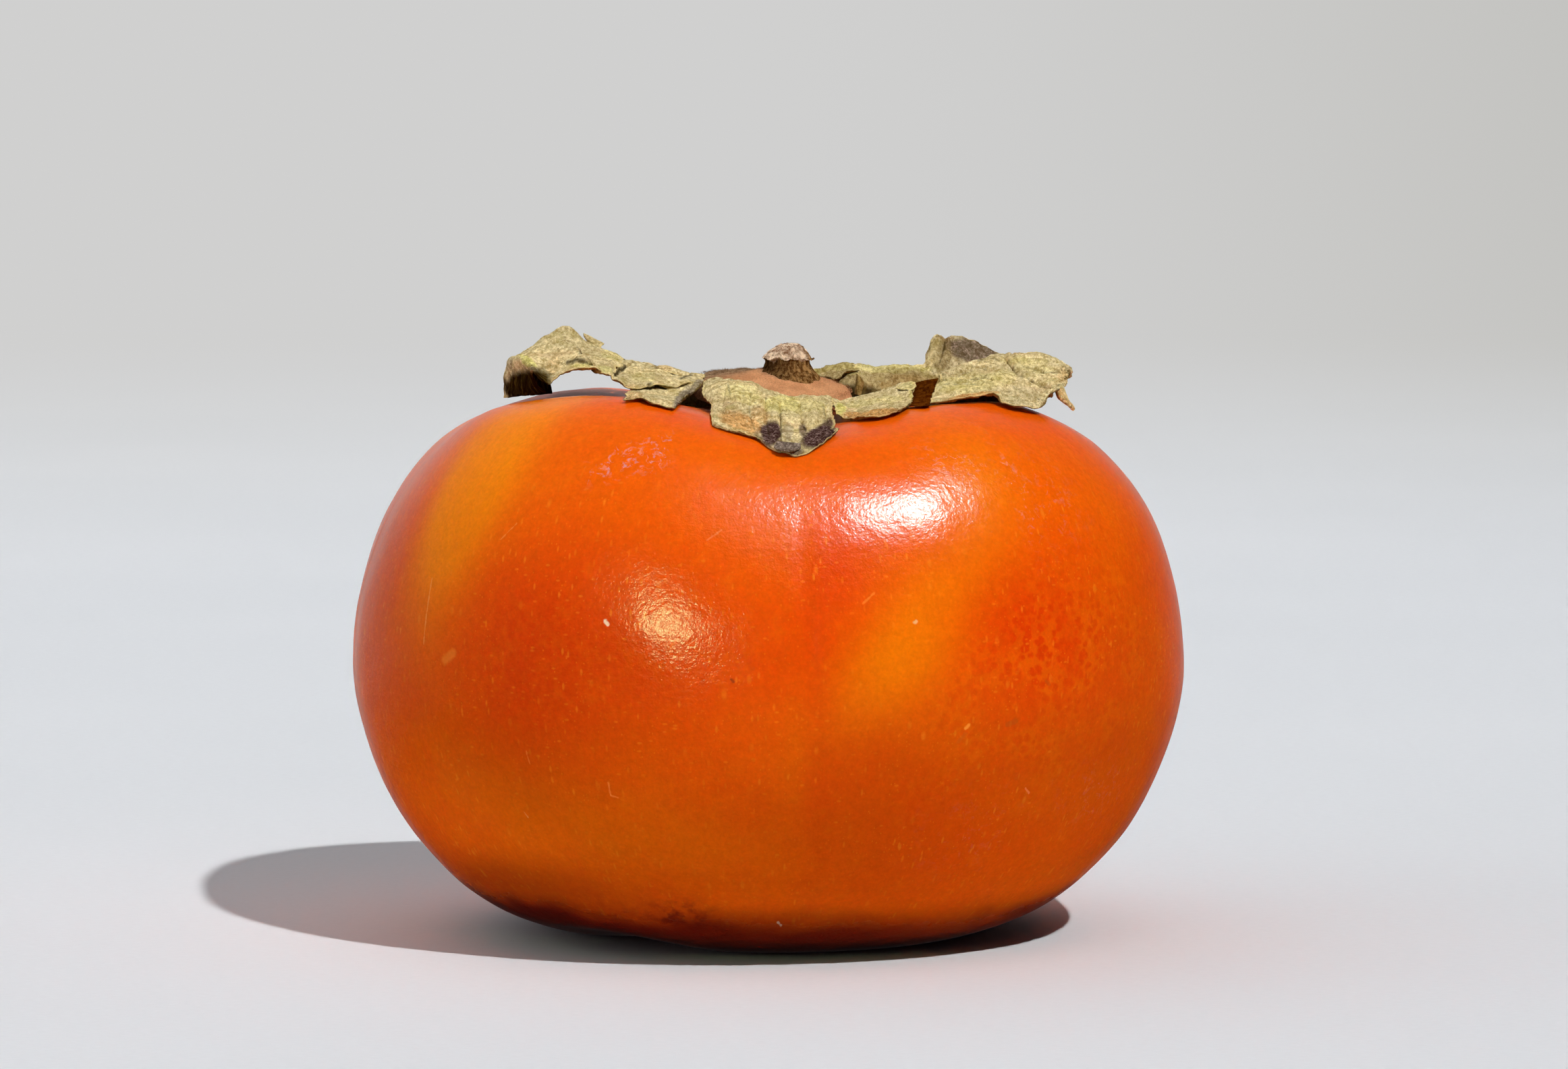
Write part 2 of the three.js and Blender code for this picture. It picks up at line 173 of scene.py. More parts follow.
_phi = np.linspace(0, 2 * math.pi, 721)
_rho = np.linspace(0, 39, 391)
_tt = np.linspace(1, 0.52, 500)
_table = np.empty((len(_phi), len(_rho)))
for _k, _p in enumerate(_phi):
    _b = fruit_point(_tt, np.full(_tt.shape, _p))
    _table[_k] = np.interp(_rho, np.maximum.accumulate(np.hypot(_b[:, 0], _b[:, 1])), _b[:, 2])


def fruit_top(x, y):
    """Height of the fruit's top under x, y."""
    a = (np.arctan2(y, x) % (2 * math.pi)) / (2 * math.pi) * 720
    r = np.clip(np.hypot(x, y), 0, 38.99) * 10
    i, j = np.minimum(a.astype(int), 719), r.astype(int)
    f, g = a - i, r - j
    return (_table[i, j] * (1 - f) + _table[i + 1, j] * f) * (1 - g) + (_table[i, j + 1] * (1 - f) + _table[i + 1, j + 1] * f) * g


# ------------------------------------------------------------------ meshes


def add_mesh(name, V, faces, attrs, material):
    """faces is a list of integer arrays, each (n, 3) or (n, 4). V is in mm."""
    me = bpy.data.meshes.new(name)
    me.vertices.add(len(V))
    me.vertices.foreach_set("co", (np.asarray(V) * MM).astype(np.float32).ravel())
    sizes = np.concatenate([np.full(len(f), f.shape[1]) for f in faces])
    loops = np.concatenate([f.ravel() for f in faces]).astype(np.int32)
    me.loops.add(len(loops))
    me.loops.foreach_set("vertex_index", loops)
    me.polygons.add(len(sizes))
    me.polygons.foreach_set("loop_start", np.concatenate([[0], np.cumsum(sizes)[:-1]]).astype(np.int32))
    me.update(calc_edges=True)
    me.validate()
    me.polygons.foreach_set("use_smooth", np.ones(len(me.polygons), bool))
    for k, a in attrs.items():
        a = np.asarray(a, np.float32)
        if a.ndim == 2:
            me.attributes.new(k, "FLOAT_VECTOR", "POINT").data.foreach_set("vector", a.ravel())
        else:
            me.attributes.new(k, "FLOAT", "POINT").data.foreach_set("value", a.ravel())
    me.materials.append(material)
    o = bpy.data.objects.new(name, me)
    bpy.context.scene.collection.objects.link(o)
    return o


def quads(n, m, wrap=False):
    """Faces of an (n, m) grid of points; wrap closes the second direction."""
    i, j = np.meshgrid(np.arange(n - 1), np.arange(m if wrap else m - 1), indexing="ij")
    a, b = i * m + j, i * m + (j + 1) % m
    return np.stack([a, b, b + m, a + m], -1).reshape(-1, 4)


def lathe(P):
    """Closed form from rings P (rows, around, 3); the first and last rings are single points."""
    n, m = P.shape[:2]
    V = np.concatenate([P[0, :1], P[1:-1].reshape(-1, 3), P[-1, :1]])
    q = quads(n - 2, m, True) + 1
    j = np.arange(m)
    low = np.stack([np.zeros(m, int), 1 + (j + 1) % m, 1 + j], -1)
    last = len(V) - 1
    base = 1 + (n - 3) * m
    high = np.stack([np.full(m, last), base + j, base + (j + 1) % m], -1)
    return V, [q, low, high]


def ring_attr(a):
    return np.concatenate([a[0, :1], a[1:-1].ravel(), a[-1, :1]])


def unit(n):
    return n / (np.linalg.norm(n, axis=-1, keepdims=True) + 1e-12)


def net_eval(net, U, V):
    net = np.asarray(net, float)
    n, m = net.shape[:2]
    Q = np.concatenate([(2 * net[0] - net[1])[None], net, (2 * net[-1] - net[-2])[None]])
    Q = np.concatenate([(2 * Q[:, 0] - Q[:, 1])[:, None], Q, (2 * Q[:, -1] - Q[:, -2])[:, None]], 1)

    def weights(s, k):
        s = np.clip(s, 0, 1) * (k - 1)
        i = np.clip(np.floor(s).astype(int), 0, k - 2)
        f = s - i
        return i, [0.5 * (-f + 2 * f * f - f ** 3), 0.5 * (2 - 5 * f * f + 3 * f ** 3), 0.5 * (f + 4 * f * f - 3 * f ** 3), 0.5 * (f ** 3 - f * f)]
    i, wu = weights(U, n)
    j, wv = weights(V, m)
    out = 0
    for a in range(4):
        for b in range(4):
            out = out + (wu[a] * wv[b])[..., None] * Q[i + a, j + b]
    return out


def line_distance(x, y, pts):
    """Distance in pixels to a polyline and the side, + to the left of its direction."""
    best, side = np.full(x.shape, 1e9), np.zeros(x.shape)
    for (ax, ay), (bx, by) in zip(pts[:-1], pts[1:]):
        dx, dy = bx - ax, by - ay
        h = np.clip(((x - ax) * dx + (y - ay) * dy) / (dx * dx + dy * dy), 0, 1)
        ex, ey = x - ax - h * dx, y - ay - h * dy
        d = np.hypot(ex, ey)
        m = d < best
        best = np.where(m, d, best)
        side = np.where(m, np.sign(dx * ey - dy * ex), side)
    return best, side


ATTRS = ("edge", "under", "dark", "tan", "green", "grey", "deep_shade", "warm")


class Sheets:
    """Thin closed sheets gathered into one piece."""

    def __init__(self):
        self.V, self.F, self.A, self.fib, self.n = [], [], {k: [] for k in ATTRS}, [], 0

    def add(self, key, nu, nv, thick=0.34, jag=(0, 0.3, 0.3, 0.3), crumple=0.14, pleat=0.0, pleat_size=(7.0, 1.3), seed=1, floor=0.12,
            flip=False, grooves=(), steps=(), spots=(), cracks=(), curl=0.0, cross=False, root=0, pale_edge=True):
        net = np.asarray(NETS[key], float)
        a, b = np.linspace(0, 1, nu), np.linspace(0, 1, nv)
        A, B = np.meshgrid(a, b, indexing="ij")
        S = net_eval(net, A, B)
        Lu = np.linalg.norm(np.diff(S, axis=0), axis=-1).sum(0).mean()
        Lv = np.linalg.norm(np.diff(S, axis=1), axis=-1).sum(1).mean()

        def ragged(s, amount, length, k):
            q = stack(s * length / 2.6, 5.3 * k + seed, 0.5)
            w = fbm(q, 5, 0.62)
            tear = np.maximum(ridged(stack(s * length / 3.4, 2.1 * k + seed, 4.5), 3) - 0.35, 0)
            return amount * (0.55 + 1.1 * w + 1.2 * tear)
        u0, u1 = ragged(b, jag[0], Lv, 1) / Lu, ragged(b, jag[1], Lv, 2) / Lu
        v0, v1 = ragged(a, jag[2], Lu, 3) / Lv, ragged(a, jag[3], Lu, 4) / Lv
        U = u0[None] + A * (1 - u0 - u1)[None]
        Vv = v0[:, None] + B * (1 - v0 - v1)[:, None]
        S = net_eval(net, np.clip(U, 0, 1), np.clip(Vv, 0, 1))
        sign = -1.0 if flip else 1.0

        def normals(Q):
            return sign * unit(np.cross(np.gradient(Q, axis=0), np.gradient(Q, axis=1)))
        N = normals(S)
        d_edge = np.minimum(np.minimum(B, 1 - B) * Lv, (1 - A) * Lu)
        if root != 0:
            d_edge = np.minimum(d_edge, A * Lu)
        off = crumple * (1.35 * fbm(S / 4.2 + seed, 3) + 1.10 * fbm(S / 1.6 + 2 * seed, 3) + 0.26 * ridged(S / 1.3 + seed, 3) + 0.14 * fbm(S / 0.42 + seed, 2))
        if pleat:
            pu, pv = pleat_size
            c, e = (A * Lu, B * Lv) if not cross else (B * Lv, A * Lu)
            bend = 0.8 * fbm(stack(c / 6, e / 3, seed), 2)
            off = off + pleat * (ridged(stack(c / pu, e / pv + bend, seed * 3.1), 3) + 0.25 * ridged(stack(c / (0.5 * pu), e / (0.42 * pv) + 2 * bend, seed * 1.7), 2))
        X, Y = picture(S)
        for pts, amp, width in grooves:
            d, _ = line_distance(X, Y, pts)
            off = off + amp * np.exp(-(d / width) ** 2)
        for pts, amp, width, fade in steps:
            d, s = line_distance(X, Y, pts)
            off = off + amp * np.tanh(s * d / width) * np.exp(-d / fade)
        off = off + curl * np.exp(-d_edge / 0.9) * (0.5 + fbm(S / 3.0 + 9 + seed, 2))
        T = thick * (0.30 + 0.70 * smooth(0, 0.7, d_edge)) * (1 + 0.25 * fbm(S / 1.1 + 5, 2))
        M = S + N * off[..., None]
        low = fruit_top(M[..., 0], M[..., 1]) + floor
        M[..., 2] = np.maximum(M[..., 2], low + T / 2)
        N = normals(M)
        topside, under = M + N * (T / 2)[..., None], M - N * (T / 2)[..., None]
        for Q in (topside, under):
            Q[..., 2] = np.minimum(np.maximum(Q[..., 2], fruit_top(Q[..., 0], Q[..., 1]) + floor * 0.8), 58.68)
        n = nu * nv
        q = quads(nu, nv)
        if sign < 0:
            q = q[:, ::-1]
        idx = np.arange(n).reshape(nu, nv)
        rim = np.concatenate([idx[:, 0], idx[-1, 1:], idx[::-1, -1][1:], idx[0, ::-1][1:-1]])
        nxt = np.roll(rim, -1)
        sides = np.stack([rim, nxt, nxt + n, rim + n], -1)
        if sign > 0:
            sides = sides[:, ::-1]
        self.V += [topside.reshape(-1, 3), under.reshape(-1, 3)]
        self.F += [q + self.n, q[:, ::-1] + n + self.n, sides[:, ::-1] + self.n]
        val = {k: np.zeros((nu, nv)) for k in ATTRS}
        val["edge"] = d_edge
        soft = 0.22 * fbm(S / 1.0 + 3 * seed, 4)
        for k, x, y, rx, ry, turn, amount in spots:
            c, s = math.cos(math.radians(turn)), math.sin(math.radians(turn))
            dx, dy = (X - x) * c + (Y - y) * s, -(X - x) * s + (Y - y) * c
            val[k] = np.maximum(val[k], amount * smooth(1.25, 0.75, np.hypot(dx / rx, dy / ry) + soft))
        # cracks: dark lines painted as shade in the splits and creases
        for pts, width, amount in cracks:
            d, _ = line_distance(X, Y, pts)
            w_ = width * (0.55 + 0.9 * np.abs(fbm(S / 0.9 + seed, 2)) * 2)
            val["deep_shade"] = np.maximum(val["deep_shade"], amount * np.exp(-(d / w_) ** 2))
        if not pale_edge:
            val["edge"] = np.full((nu, nv), 9.0)
        for k in ATTRS:
            if k == "under":
                self.A[k] += [val[k].ravel(), np.ones(n)]
            else:
                self.A[k] += [val[k].ravel(), val[k].ravel()]
        g = stack(A * Lu, B * Lv, float(seed)) if not cross else stack(B * Lv, A * Lu, float(seed))
        self.fib += [g.reshape(-1, 3), g.reshape(-1, 3) + [0, 0, 3.3]]
        self.n += 2 * n
        return self

    def build(self, name, material):
        at = {k: np.concatenate(v) for k, v in self.A.items()}
        at["fib"] = np.concatenate(self.fib)
        return add_mesh(name, np.concatenate(self.V), self.F, at, material)


# ------------------------------------------------------------------ control nets of the sepals, mm
NETS = {
    "ARCH": [
        [(-14.72, -10.8, 54.55), (-14.48, -9, 54.71), (-14.21, -6.5, 54.82), (-13.95, -3, 54.89), (-13.8, 2.5, 55.13), (-13.83, 7.5, 54.56), (-13.88, 13, 53.31)],
        [(-15.54, -10.6, 54.67), (-15.46, -8.6, 55.07), (-15.33, -5.5, 55.42), (-15.21, -2, 55.68), (-15.11, 2.5, 55.92), (-15.17, 8, 55.26), (-15.22, 13.6, 53.95)],
        [(-16.38, -10.4, 54.95), (-16.37, -8.4, 55.32), (-16.32, -5, 55.72), (-16.28, -1, 56.02), (-16.23, 2.5, 56.25), (-16.29, 8, 55.59), (-16.29, 13.6, 54.28)],
        [(-17.49, -10.2, 55.18), (-17.48, -8, 55.56), (-17.5, -4.5, 56.08), (-17.53, -0.5, 56.51), (-17.54, 2.5, 56.91), (-17.61, 7.8, 56.26), (-17.62, 13.4, 54.83)],
        [(-18.65, -10, 55.09), (-18.72, -7.6, 55.54), (-18.75, -4, 56.25), (-18.85, 0, 57.08), (-18.85, 2.5, 57.96), (-18.92, 7.6, 57.34), (-18.94, 13, 55.79)],
        [(-19.62, -10, 54.67), (-19.68, -8, 55.23), (-19.79, -4, 56.12), (-19.9, 0, 57.21), (-19.97, 2.5, 58.42), (-20.04, 7.4, 57.81), (-19.99, 12.4, 56.22)],
        [(-20.44, -10.6, 54.03), (-20.5, -8.6, 54.82), (-20.67, -5, 55.78), (-20.79, -1, 56.87), (-20.81, 2, 57.89), (-20.88, 6.8, 57.38), (-20.76, 11.6, 55.86)],
        [(-20.88, -11, 53.69), (-21.06, -9.4, 54.54), (-21.41, -6.2, 55.46), (-21.72, -2.5, 56.36), (-21.89, 1, 57.19), (-21.85, 6, 56.76), (-21.67, 10.8, 55.37)],
        [(-21.8, -10.6, 54.22), (-22.04, -9, 54.9), (-22.31, -6.5, 55.6), (-22.67, -3.5, 56.09), (-22.91, 0, 56.45), (-22.88, 5, 56.09), (-22.65, 10, 54.82)],
        [(-22.39, -10.2, 54.97), (-22.7, -8.4, 55.39), (-23.24, -6, 55.71), (-23.78, -3.5, 55.89), (-24.19, -1, 55.85), (-24.03, 4, 55.48), (-23.75, 9.2, 54.4)],
        [(-22.47, -7.8, 54.51), (-23.04, -6.2, 54.87), (-23.75, -4.4, 55.23), (-24.39, -2.6, 55.45), (-24.93, -0.5, 55.47), (-24.63, 4, 55.02), (-24.27, 8.8, 54.09)],
        [(-22.12, -6.5, 53.79), (-22.95, -5, 53.83), (-23.86, -3, 53.97), (-24.65, -1, 54.12), (-25.31, 1, 54.46), (-25.06, 5, 54.04), (-24.67, 9, 53.41)],
        [(-21.56, -5.8, 53.22), (-22.73, -4, 52.92), (-23.85, -1.6, 52.78), (-24.78, 0.6, 52.85), (-25.41, 2.6, 52.86), (-25.23, 6, 52.79), (-24.81, 9, 52.42)],
        [(-21.18, -5.4, 53.07), (-22.55, -3.4, 52.43), (-23.88, -0.8, 51.98), (-24.95, 1.6, 51.67), (-25.78, 3.8, 51.34), (-25.32, 6.6, 51.56), (-24.94, 9, 51.69)],
    ],
    "TORN": [
        [(-18.02, 3.4, 57.82), (-18.03, 3.6, 57.87), (-18.04, 4, 57.92)],
        [(-17.55, 3, 57.08), (-17.56, 3.2, 57.5), (-17.45, 4.4, 57.7)],
        [(-16.89, 2.9, 56.66), (-16.83, 3, 57.11), (-16.74, 4.6, 57.29)],
        [(-16.24, 2.9, 56.26), (-16.05, 3.2, 56.71), (-15.92, 4.8, 56.82)],
    ],
    "MID_UPPER": [
        [(-15.02, -11, 54.44), (-14.87, -9, 54.58), (-14.54, -6, 54.73), (-14.22, -2.5, 54.92), (-13.99, 2, 55.13), (-14.03, 7.5, 54.49), (-14.01, 13, 53.31)],
        [(-14.16, -12, 54.11), (-14.02, -9.6, 54.35), (-13.76, -6, 54.6), (-13.44, -2.5, 54.86), (-13.13, 2, 55.1), (-13.17, 7.5, 54.49), (-13.14, 13, 53.25)],
        [(-13.43, -13, 53.46), (-13.3, -10, 53.86), (-13.11, -6, 54.28), (-12.85, -2.5, 54.66), (-12.54, 2, 55), (-12.57, 7, 54.45), (-12.53, 12.5, 53.21)],
        [(-12.4, -13.2, 53.4), (-12.32, -10.3, 53.75), (-12.2, -6.2, 54.16), (-12.01, -2.5, 54.53), (-11.75, 2, 54.9), (-11.77, 7, 54.39), (-11.72, 12, 53.17)],
        [(-11.31, -13, 53.46), (-11.29, -10.4, 53.75), (-11.23, -6.4, 54.1), (-11.09, -2.8, 54.42), (-10.9, 1.8, 54.61), (-10.91, 6.6, 54.21), (-10.78, 11, 53.16)],
        [(-10.29, -12.4, 53.55), (-10.26, -10, 53.79), (-10.19, -6.6, 54.05), (-10.04, -3.4, 54.19), (-9.91, 1.2, 54.25), (-9.84, 6, 53.91), (-9.77, 10, 53.15)],
        [(-9.02, -11.5, 53.5), (-8.98, -9.5, 53.7), (-8.89, -6.8, 53.87), (-8.73, -4, 53.96), (-8.59, 0.5, 53.97), (-8.51, 5, 53.71), (-8.43, 9, 53.14)],
        [(-7.63, -9, 53.54), (-7.58, -7.5, 53.71), (-7.47, -5.5, 53.79), (-7.3, -3.2, 53.85), (-7.14, 0.3, 53.85), (-7.05, 4, 53.57), (-6.95, 7.6, 53.16)],
        [(-6.36, -6, 53.36), (-6.31, -5, 53.44), (-6.19, -3.6, 53.55), (-6.14, -2, 53.65), (-6.03, 0.4, 53.71), (-5.99, 3, 53.49), (-5.88, 6, 53.19)],
    ],
    "LIP": [
        [(-11.01, 0.8, 54.64), (-11.02, 1.4, 54.67), (-10.97, 2.4, 54.68)],
        [(-10.47, -0.6, 54.55), (-10.42, 0.4, 54.76), (-10.31, 2, 54.83)],
        [(-9.8, -1.4, 54.44), (-9.75, -0.2, 54.73), (-9.72, 1.8, 54.81)],
        [(-8.88, -2, 54.21), (-8.83, -0.8, 54.5), (-8.86, 1.4, 54.54)],
        [(-8.09, -2.4, 54), (-8.04, -1.2, 54.26), (-8.07, 1, 54.3)],
        [(-7.44, -2.6, 53.85), (-7.25, -1.6, 54.05), (-7.21, 0.6, 54.09)],
    ],
    "MID_LOWER": [
        [(-13.67, -23.69, 52.95), (-13.51, -21.99, 53.29), (-13.35, -13.8, 53.31), (-13.15, -11, 53.66), (-12.95, -8, 53.87)],
        [(-12.72, -23.39, 53), (-12.56, -21.69, 53.28), (-12.45, -14, 53.26), (-12.25, -11, 53.6), (-12.04, -8, 53.81)],
        [(-12.03, -23.19, 53.01), (-11.88, -21.3, 53.25), (-11.75, -14, 53.26), (-11.6, -11.2, 53.54), (-11.39, -8, 53.74)],
        [(-11.26, -23.99, 52.78), (-11.16, -22.09, 53.11), (-11.04, -14.2, 53.14), (-10.82, -11.4, 53.43), (-10.62, -8, 53.61)],
        [(-10.37, -24.39, 52.58), (-10.21, -21.99, 52.98), (-10.14, -14.2, 53.01), (-9.92, -11.4, 53.3), (-9.71, -8, 53.55)],
        [(-9.61, -24.69, 52.41), (-9.46, -21.9, 52.84), (-9.31, -14, 52.94), (-9.03, -11, 53.27), (-8.81, -8, 53.55)],
        [(-8.73, -24.39, 52.33), (-8.58, -20.6, 52.7), (-8.42, -13.4, 52.9), (-8.13, -10.6, 53.25), (-7.9, -7.6, 53.52)],
        [(-8.23, -18.6, 52.64), (-8.14, -14.8, 52.73), (-7.91, -12.6, 53.05), (-7.62, -9.8, 53.39), (-7.39, -7, 53.62)],
        [(-7.64, -13.6, 52.87), (-7.53, -12.4, 53.03), (-7.35, -10.6, 53.25), (-7.12, -8.4, 53.51), (-6.95, -6.2, 53.7)],
        [(-6.97, -10, 53.21), (-6.92, -9.2, 53.29), (-6.73, -8, 53.48), (-6.62, -6.8, 53.67), (-6.5, -5.6, 53.73)],
        [(-6.48, -7, 53.62), (-6.43, -6.4, 53.65), (-6.37, -5.8, 53.68), (-6.31, -5.2, 53.71), (-6.18, -4.6, 53.74)],
    ],
    "FRONT": [
        [(-6.31, -4.9, 53.63), (-4.94, -5.6, 53.89), (-3.76, -6.8, 53.93), (-2.4, -7.6, 53.78), (-0.91, -8.2, 53.43), (0.58, -8.4, 52.79), (2.07, -8.4, 52.47), (3.56, -8, 52.44), (5.05, -7, 52.25), (6.49, -5.8, 51.92)],
        [(-6.34, -8.5, 53.12), (-5.04, -9.6, 53.51), (-3.81, -11, 53.59), (-2.38, -12, 53.46), (-0.9, -12.8, 53.12), (0.58, -13.2, 52.63), (2.05, -13.2, 52.31), (3.53, -12.6, 52.27), (5.02, -11.5, 52.07), (6.46, -9.4, 51.82)],
        [(-6.17, -13, 52.55), (-5.07, -13.8, 52.99), (-3.85, -14.8, 53.05), (-2.37, -15.8, 52.92), (-0.9, -16.6, 52.64), (0.57, -17.2, 52.23), (2.04, -17.4, 51.92), (3.51, -17, 51.9), (4.99, -15.8, 51.76), (6.43, -13, 51.65)],
        [(-5.44, -16.5, 52.19), (-4.73, -17, 52.35), (-3.7, -18, 52.28), (-2.36, -19, 52.09), (-0.89, -20, 51.9), (0.57, -20.6, 51.55), (2.03, -20.8, 51.31), (3.49, -20.6, 51.3), (4.96, -19.4, 51.35), (6.27, -16.2, 51.47)],
        [(-5.45, -19.45, 51.73), (-4.65, -19.8, 51.69), (-3.69, -20.6, 51.55), (-2.35, -21.6, 51.36), (-0.89, -22.4, 51.09), (0.57, -23, 50.75), (2.02, -23.4, 50.58), (3.48, -23.2, 50.57), (4.95, -22, 50.75), (6.37, -19.2, 51.08)],
        [(-5.37, -24.6, 51.42), (-4.55, -24.9, 51.19), (-3.6, -24.95, 51), (-2.34, -25.1, 50.7), (-0.95, -25.75, 50.36), (0.5, -26.9, 49.99), (1.95, -27.45, 49.77), (3.4, -27.25, 49.76), (4.86, -25.35, 50.08), (6.47, -22.2, 50.7)],
        [(-5.3, -26, 51.07), (-4.54, -26.6, 50.79), (-3.59, -27, 50.6), (-2.33, -27.35, 50.27), (-1.01, -28, 49.94), (0.31, -29.5, 49.34), (1.69, -30.15, 48.95), (3.13, -29.8, 48.99), (4.71, -28, 49.56), (6.64, -24.25, 50.39)],
        [(-5.29, -26.8, 50.87), (-4.54, -27.3, 50.62), (-3.59, -27.7, 50.39), (-2.33, -28.2, 50.08), (-1.07, -28.85, 49.74), (0.06, -30.25, 49.02), (1.25, -30.9, 48.59), (2.81, -31.1, 48.2), (4.58, -29.8, 48.89), (6.95, -25.05, 50.28)],
    ],
    "FRONT_LIP": [
        [(0.82, -29.99, 49.63), (1.69, -30.09, 49.51), (2.5, -30.09, 49.44), (3.07, -30.09, 49.38)],
        [(0.56, -30.59, 49.29), (1.37, -30.99, 49.07), (2.38, -30.89, 49), (3.13, -30.49, 49.16)],
        [(0.5, -31.09, 49.08), (1.12, -31.49, 48.76), (2.31, -31.49, 48.66), (3.13, -30.99, 48.94)],
    ],
    "WING": [
        [(5.96, -7, 52.12), (7.27, -6.2, 51.94), (8.9, -5.4, 52.29), (10.53, -5, 52.55), (11.7, -5, 52.95), (12.93, -5.3, 53.42), (14.34, -6.4, 53.84)],
        [(6.06, -10.5, 51.95), (7.42, -10, 51.79), (9.04, -9.6, 52.09), (10.66, -9.2, 52.32), (11.96, -8.6, 52.67), (13.07, -8.2, 53.07), (14.3, -8.4, 53.57)],
        [(6.23, -13.8, 51.77), (7.58, -13.4, 51.48), (9.19, -13.2, 51.66), (10.8, -12.8, 51.83), (12.16, -12, 52.17), (13.21, -11, 52.49), (14.2, -10.2, 53.16)],
        [(6.33, -15.9, 51.45), (7.68, -15.8, 51.18), (9.24, -19, 51.45), (10.8, -20.6, 51.71), (12.22, -19.6, 52.02), (13.3, -13.4, 52.19), (14.09, -12, 52.81)],
        [(6.45, -17, 51.13), (7.76, -20.15, 51.11), (9.25, -22.5, 51.22), (10.9, -22.69, 51.43), (12.31, -21.7, 51.78), (13.23, -19.7, 52.16), (13.86, -14, 52.42)],
    ],
    "WING_FLAP": [
        [(12.18, -7.4, 53.22), (12.71, -6.6, 53.49), (13.49, -6.4, 53.71), (14.39, -6.8, 53.96)],
        [(12.22, -8.6, 53.13), (12.87, -8.6, 53.29), (13.65, -8.6, 53.45), (14.42, -8.8, 53.59)],
        [(12.4, -9.4, 53.08), (12.98, -9.8, 53.07), (13.68, -10, 53.08), (14.33, -10, 53.18)],
    ],
    "RIGHT": [
        [(15.24, -18.2, 52.23), (15.54, -13.4, 52.51), (15.85, -11.4, 53.03), (16.14, -9.6, 53.64), (16.4, -8.4, 54.28), (16.62, -3, 53.9), (16.94, 2, 53.15)],
        [(17.02, -16, 52.35), (17.2, -13.8, 52.73), (17.33, -11.4, 53.29), (17.48, -8, 53.87), (17.63, -4.5, 54.51), (17.89, 0.5, 54.03), (18.14, 5, 53.11)],
        [(18.56, -16, 52.57), (18.62, -13.8, 52.92), (18.7, -10.5, 53.5), (18.81, -6.5, 54.17), (19, -2, 54.83), (19.25, 2.5, 54.37), (19.51, 7, 53.39)],
        [(19.97, -15.8, 52.78), (20.04, -13.4, 53.09), (20.15, -9.6, 53.7), (20.28, -5, 54.54), (20.49, 0, 55.24), (20.76, 4.5, 54.72), (21.01, 8.6, 53.63)],
        [(21.39, -15.4, 52.95), (21.54, -12.8, 53.25), (21.72, -9, 53.93), (21.94, -4, 54.81), (22.09, 1, 55.64), (22.37, 5.4, 55.07), (22.63, 9.6, 53.84)],
        [(22.13, -16.2, 52.33), (22.35, -13.4, 52.9), (22.56, -9, 53.8), (22.79, -3.8, 54.86), (22.95, 1.1, 55.73), (23.23, 5.7, 55.12), (23.5, 9.8, 53.83)],
        [(23.15, -16.6, 52.03), (23.37, -13.6, 52.72), (23.59, -9, 53.73), (23.85, -3.4, 54.9), (24.07, 1.2, 55.76), (24.3, 6, 55.17), (24.58, 10.2, 53.87)],
        [(24.38, -16, 51.83), (24.49, -13, 52.55), (24.64, -8.6, 53.64), (24.9, -3.2, 54.89), (25.12, 1.2, 55.77), (25.29, 6, 55.17), (25.52, 10.4, 53.79)],
        [(25.51, -15, 51.58), (25.6, -12.4, 52.38), (25.75, -8.4, 53.5), (26, -3.4, 54.77), (26.22, 0.8, 55.78), (26.4, 5.6, 55.19), (26.57, 10.2, 53.74)],
        [(26.12, -14, 51.84), (26.27, -11.8, 52.54), (26.59, -8.4, 53.5), (26.89, -4, 54.68), (27.12, 0.4, 55.64), (27.3, 5, 55.02), (27.48, 9.6, 53.64)],
        [(26.65, -12, 52.68), (27.03, -10.4, 53.1), (27.45, -8, 53.8), (27.82, -5, 54.54), (28.19, -0.6, 55.11), (28.3, 3.6, 54.57), (28.41, 8, 53.46)],
        [(27.63, -10, 53.08), (27.99, -9, 53.41), (28.43, -7.6, 53.84), (28.69, -6, 54.34), (28.96, -3.4, 54.71), (29.03, 0.5, 54.22), (29.09, 5, 53.37)],
        [(28.07, -8.6, 53.42), (28.42, -8, 53.67), (28.71, -7.2, 54.01), (28.91, -6.2, 54.35), (28.99, -5, 54.6), (29.05, -2, 54.24), (29.16, 2, 53.61)],
    ],
    "FOLD": [
        [(13.26, -18.29, 52.17), (13.68, -10, 52.43), (14.07, -7, 53.03), (14.23, -5.4, 53.59)],
        [(13.95, -19.19, 52.23), (14.39, -10.2, 52.51), (14.77, -7.4, 53.18), (14.99, -6, 53.82)],
        [(14.64, -19.79, 52.23), (15.09, -10.8, 52.55), (15.46, -8.4, 53.31), (15.75, -7, 54.07)],
        [(15.28, -19.69, 52.28), (15.77, -11.8, 52.67), (16.08, -9.6, 53.44), (16.37, -8.2, 54.27)],
    ],
    "TAIL": [
        [(27.42, -8.6, 53.19), (27.84, -9.6, 53.38), (28.34, -8.4, 53.5)],
        [(27.57, -9, 52.76), (27.95, -10.1, 52.89), (28.48, -9, 53.08)],
        [(27.72, -9.3, 52.39), (28.13, -10.3, 52.48), (28.69, -9.4, 52.59)],
        [(28.1, -9.6, 52.08), (28.45, -10.4, 52.13), (28.94, -9.6, 52.15)],
        [(28.6, -10, 51.75), (28.87, -10.6, 51.79), (29.18, -10, 51.79)],
        [(29.04, -10.4, 51.39), (29.15, -10.7, 51.44), (29.33, -10.4, 51.52)],
        [(29.22, -10.6, 51.22), (29.26, -10.7, 51.25), (29.33, -10.6, 51.31)],
    ],
    "BACK_WING": [
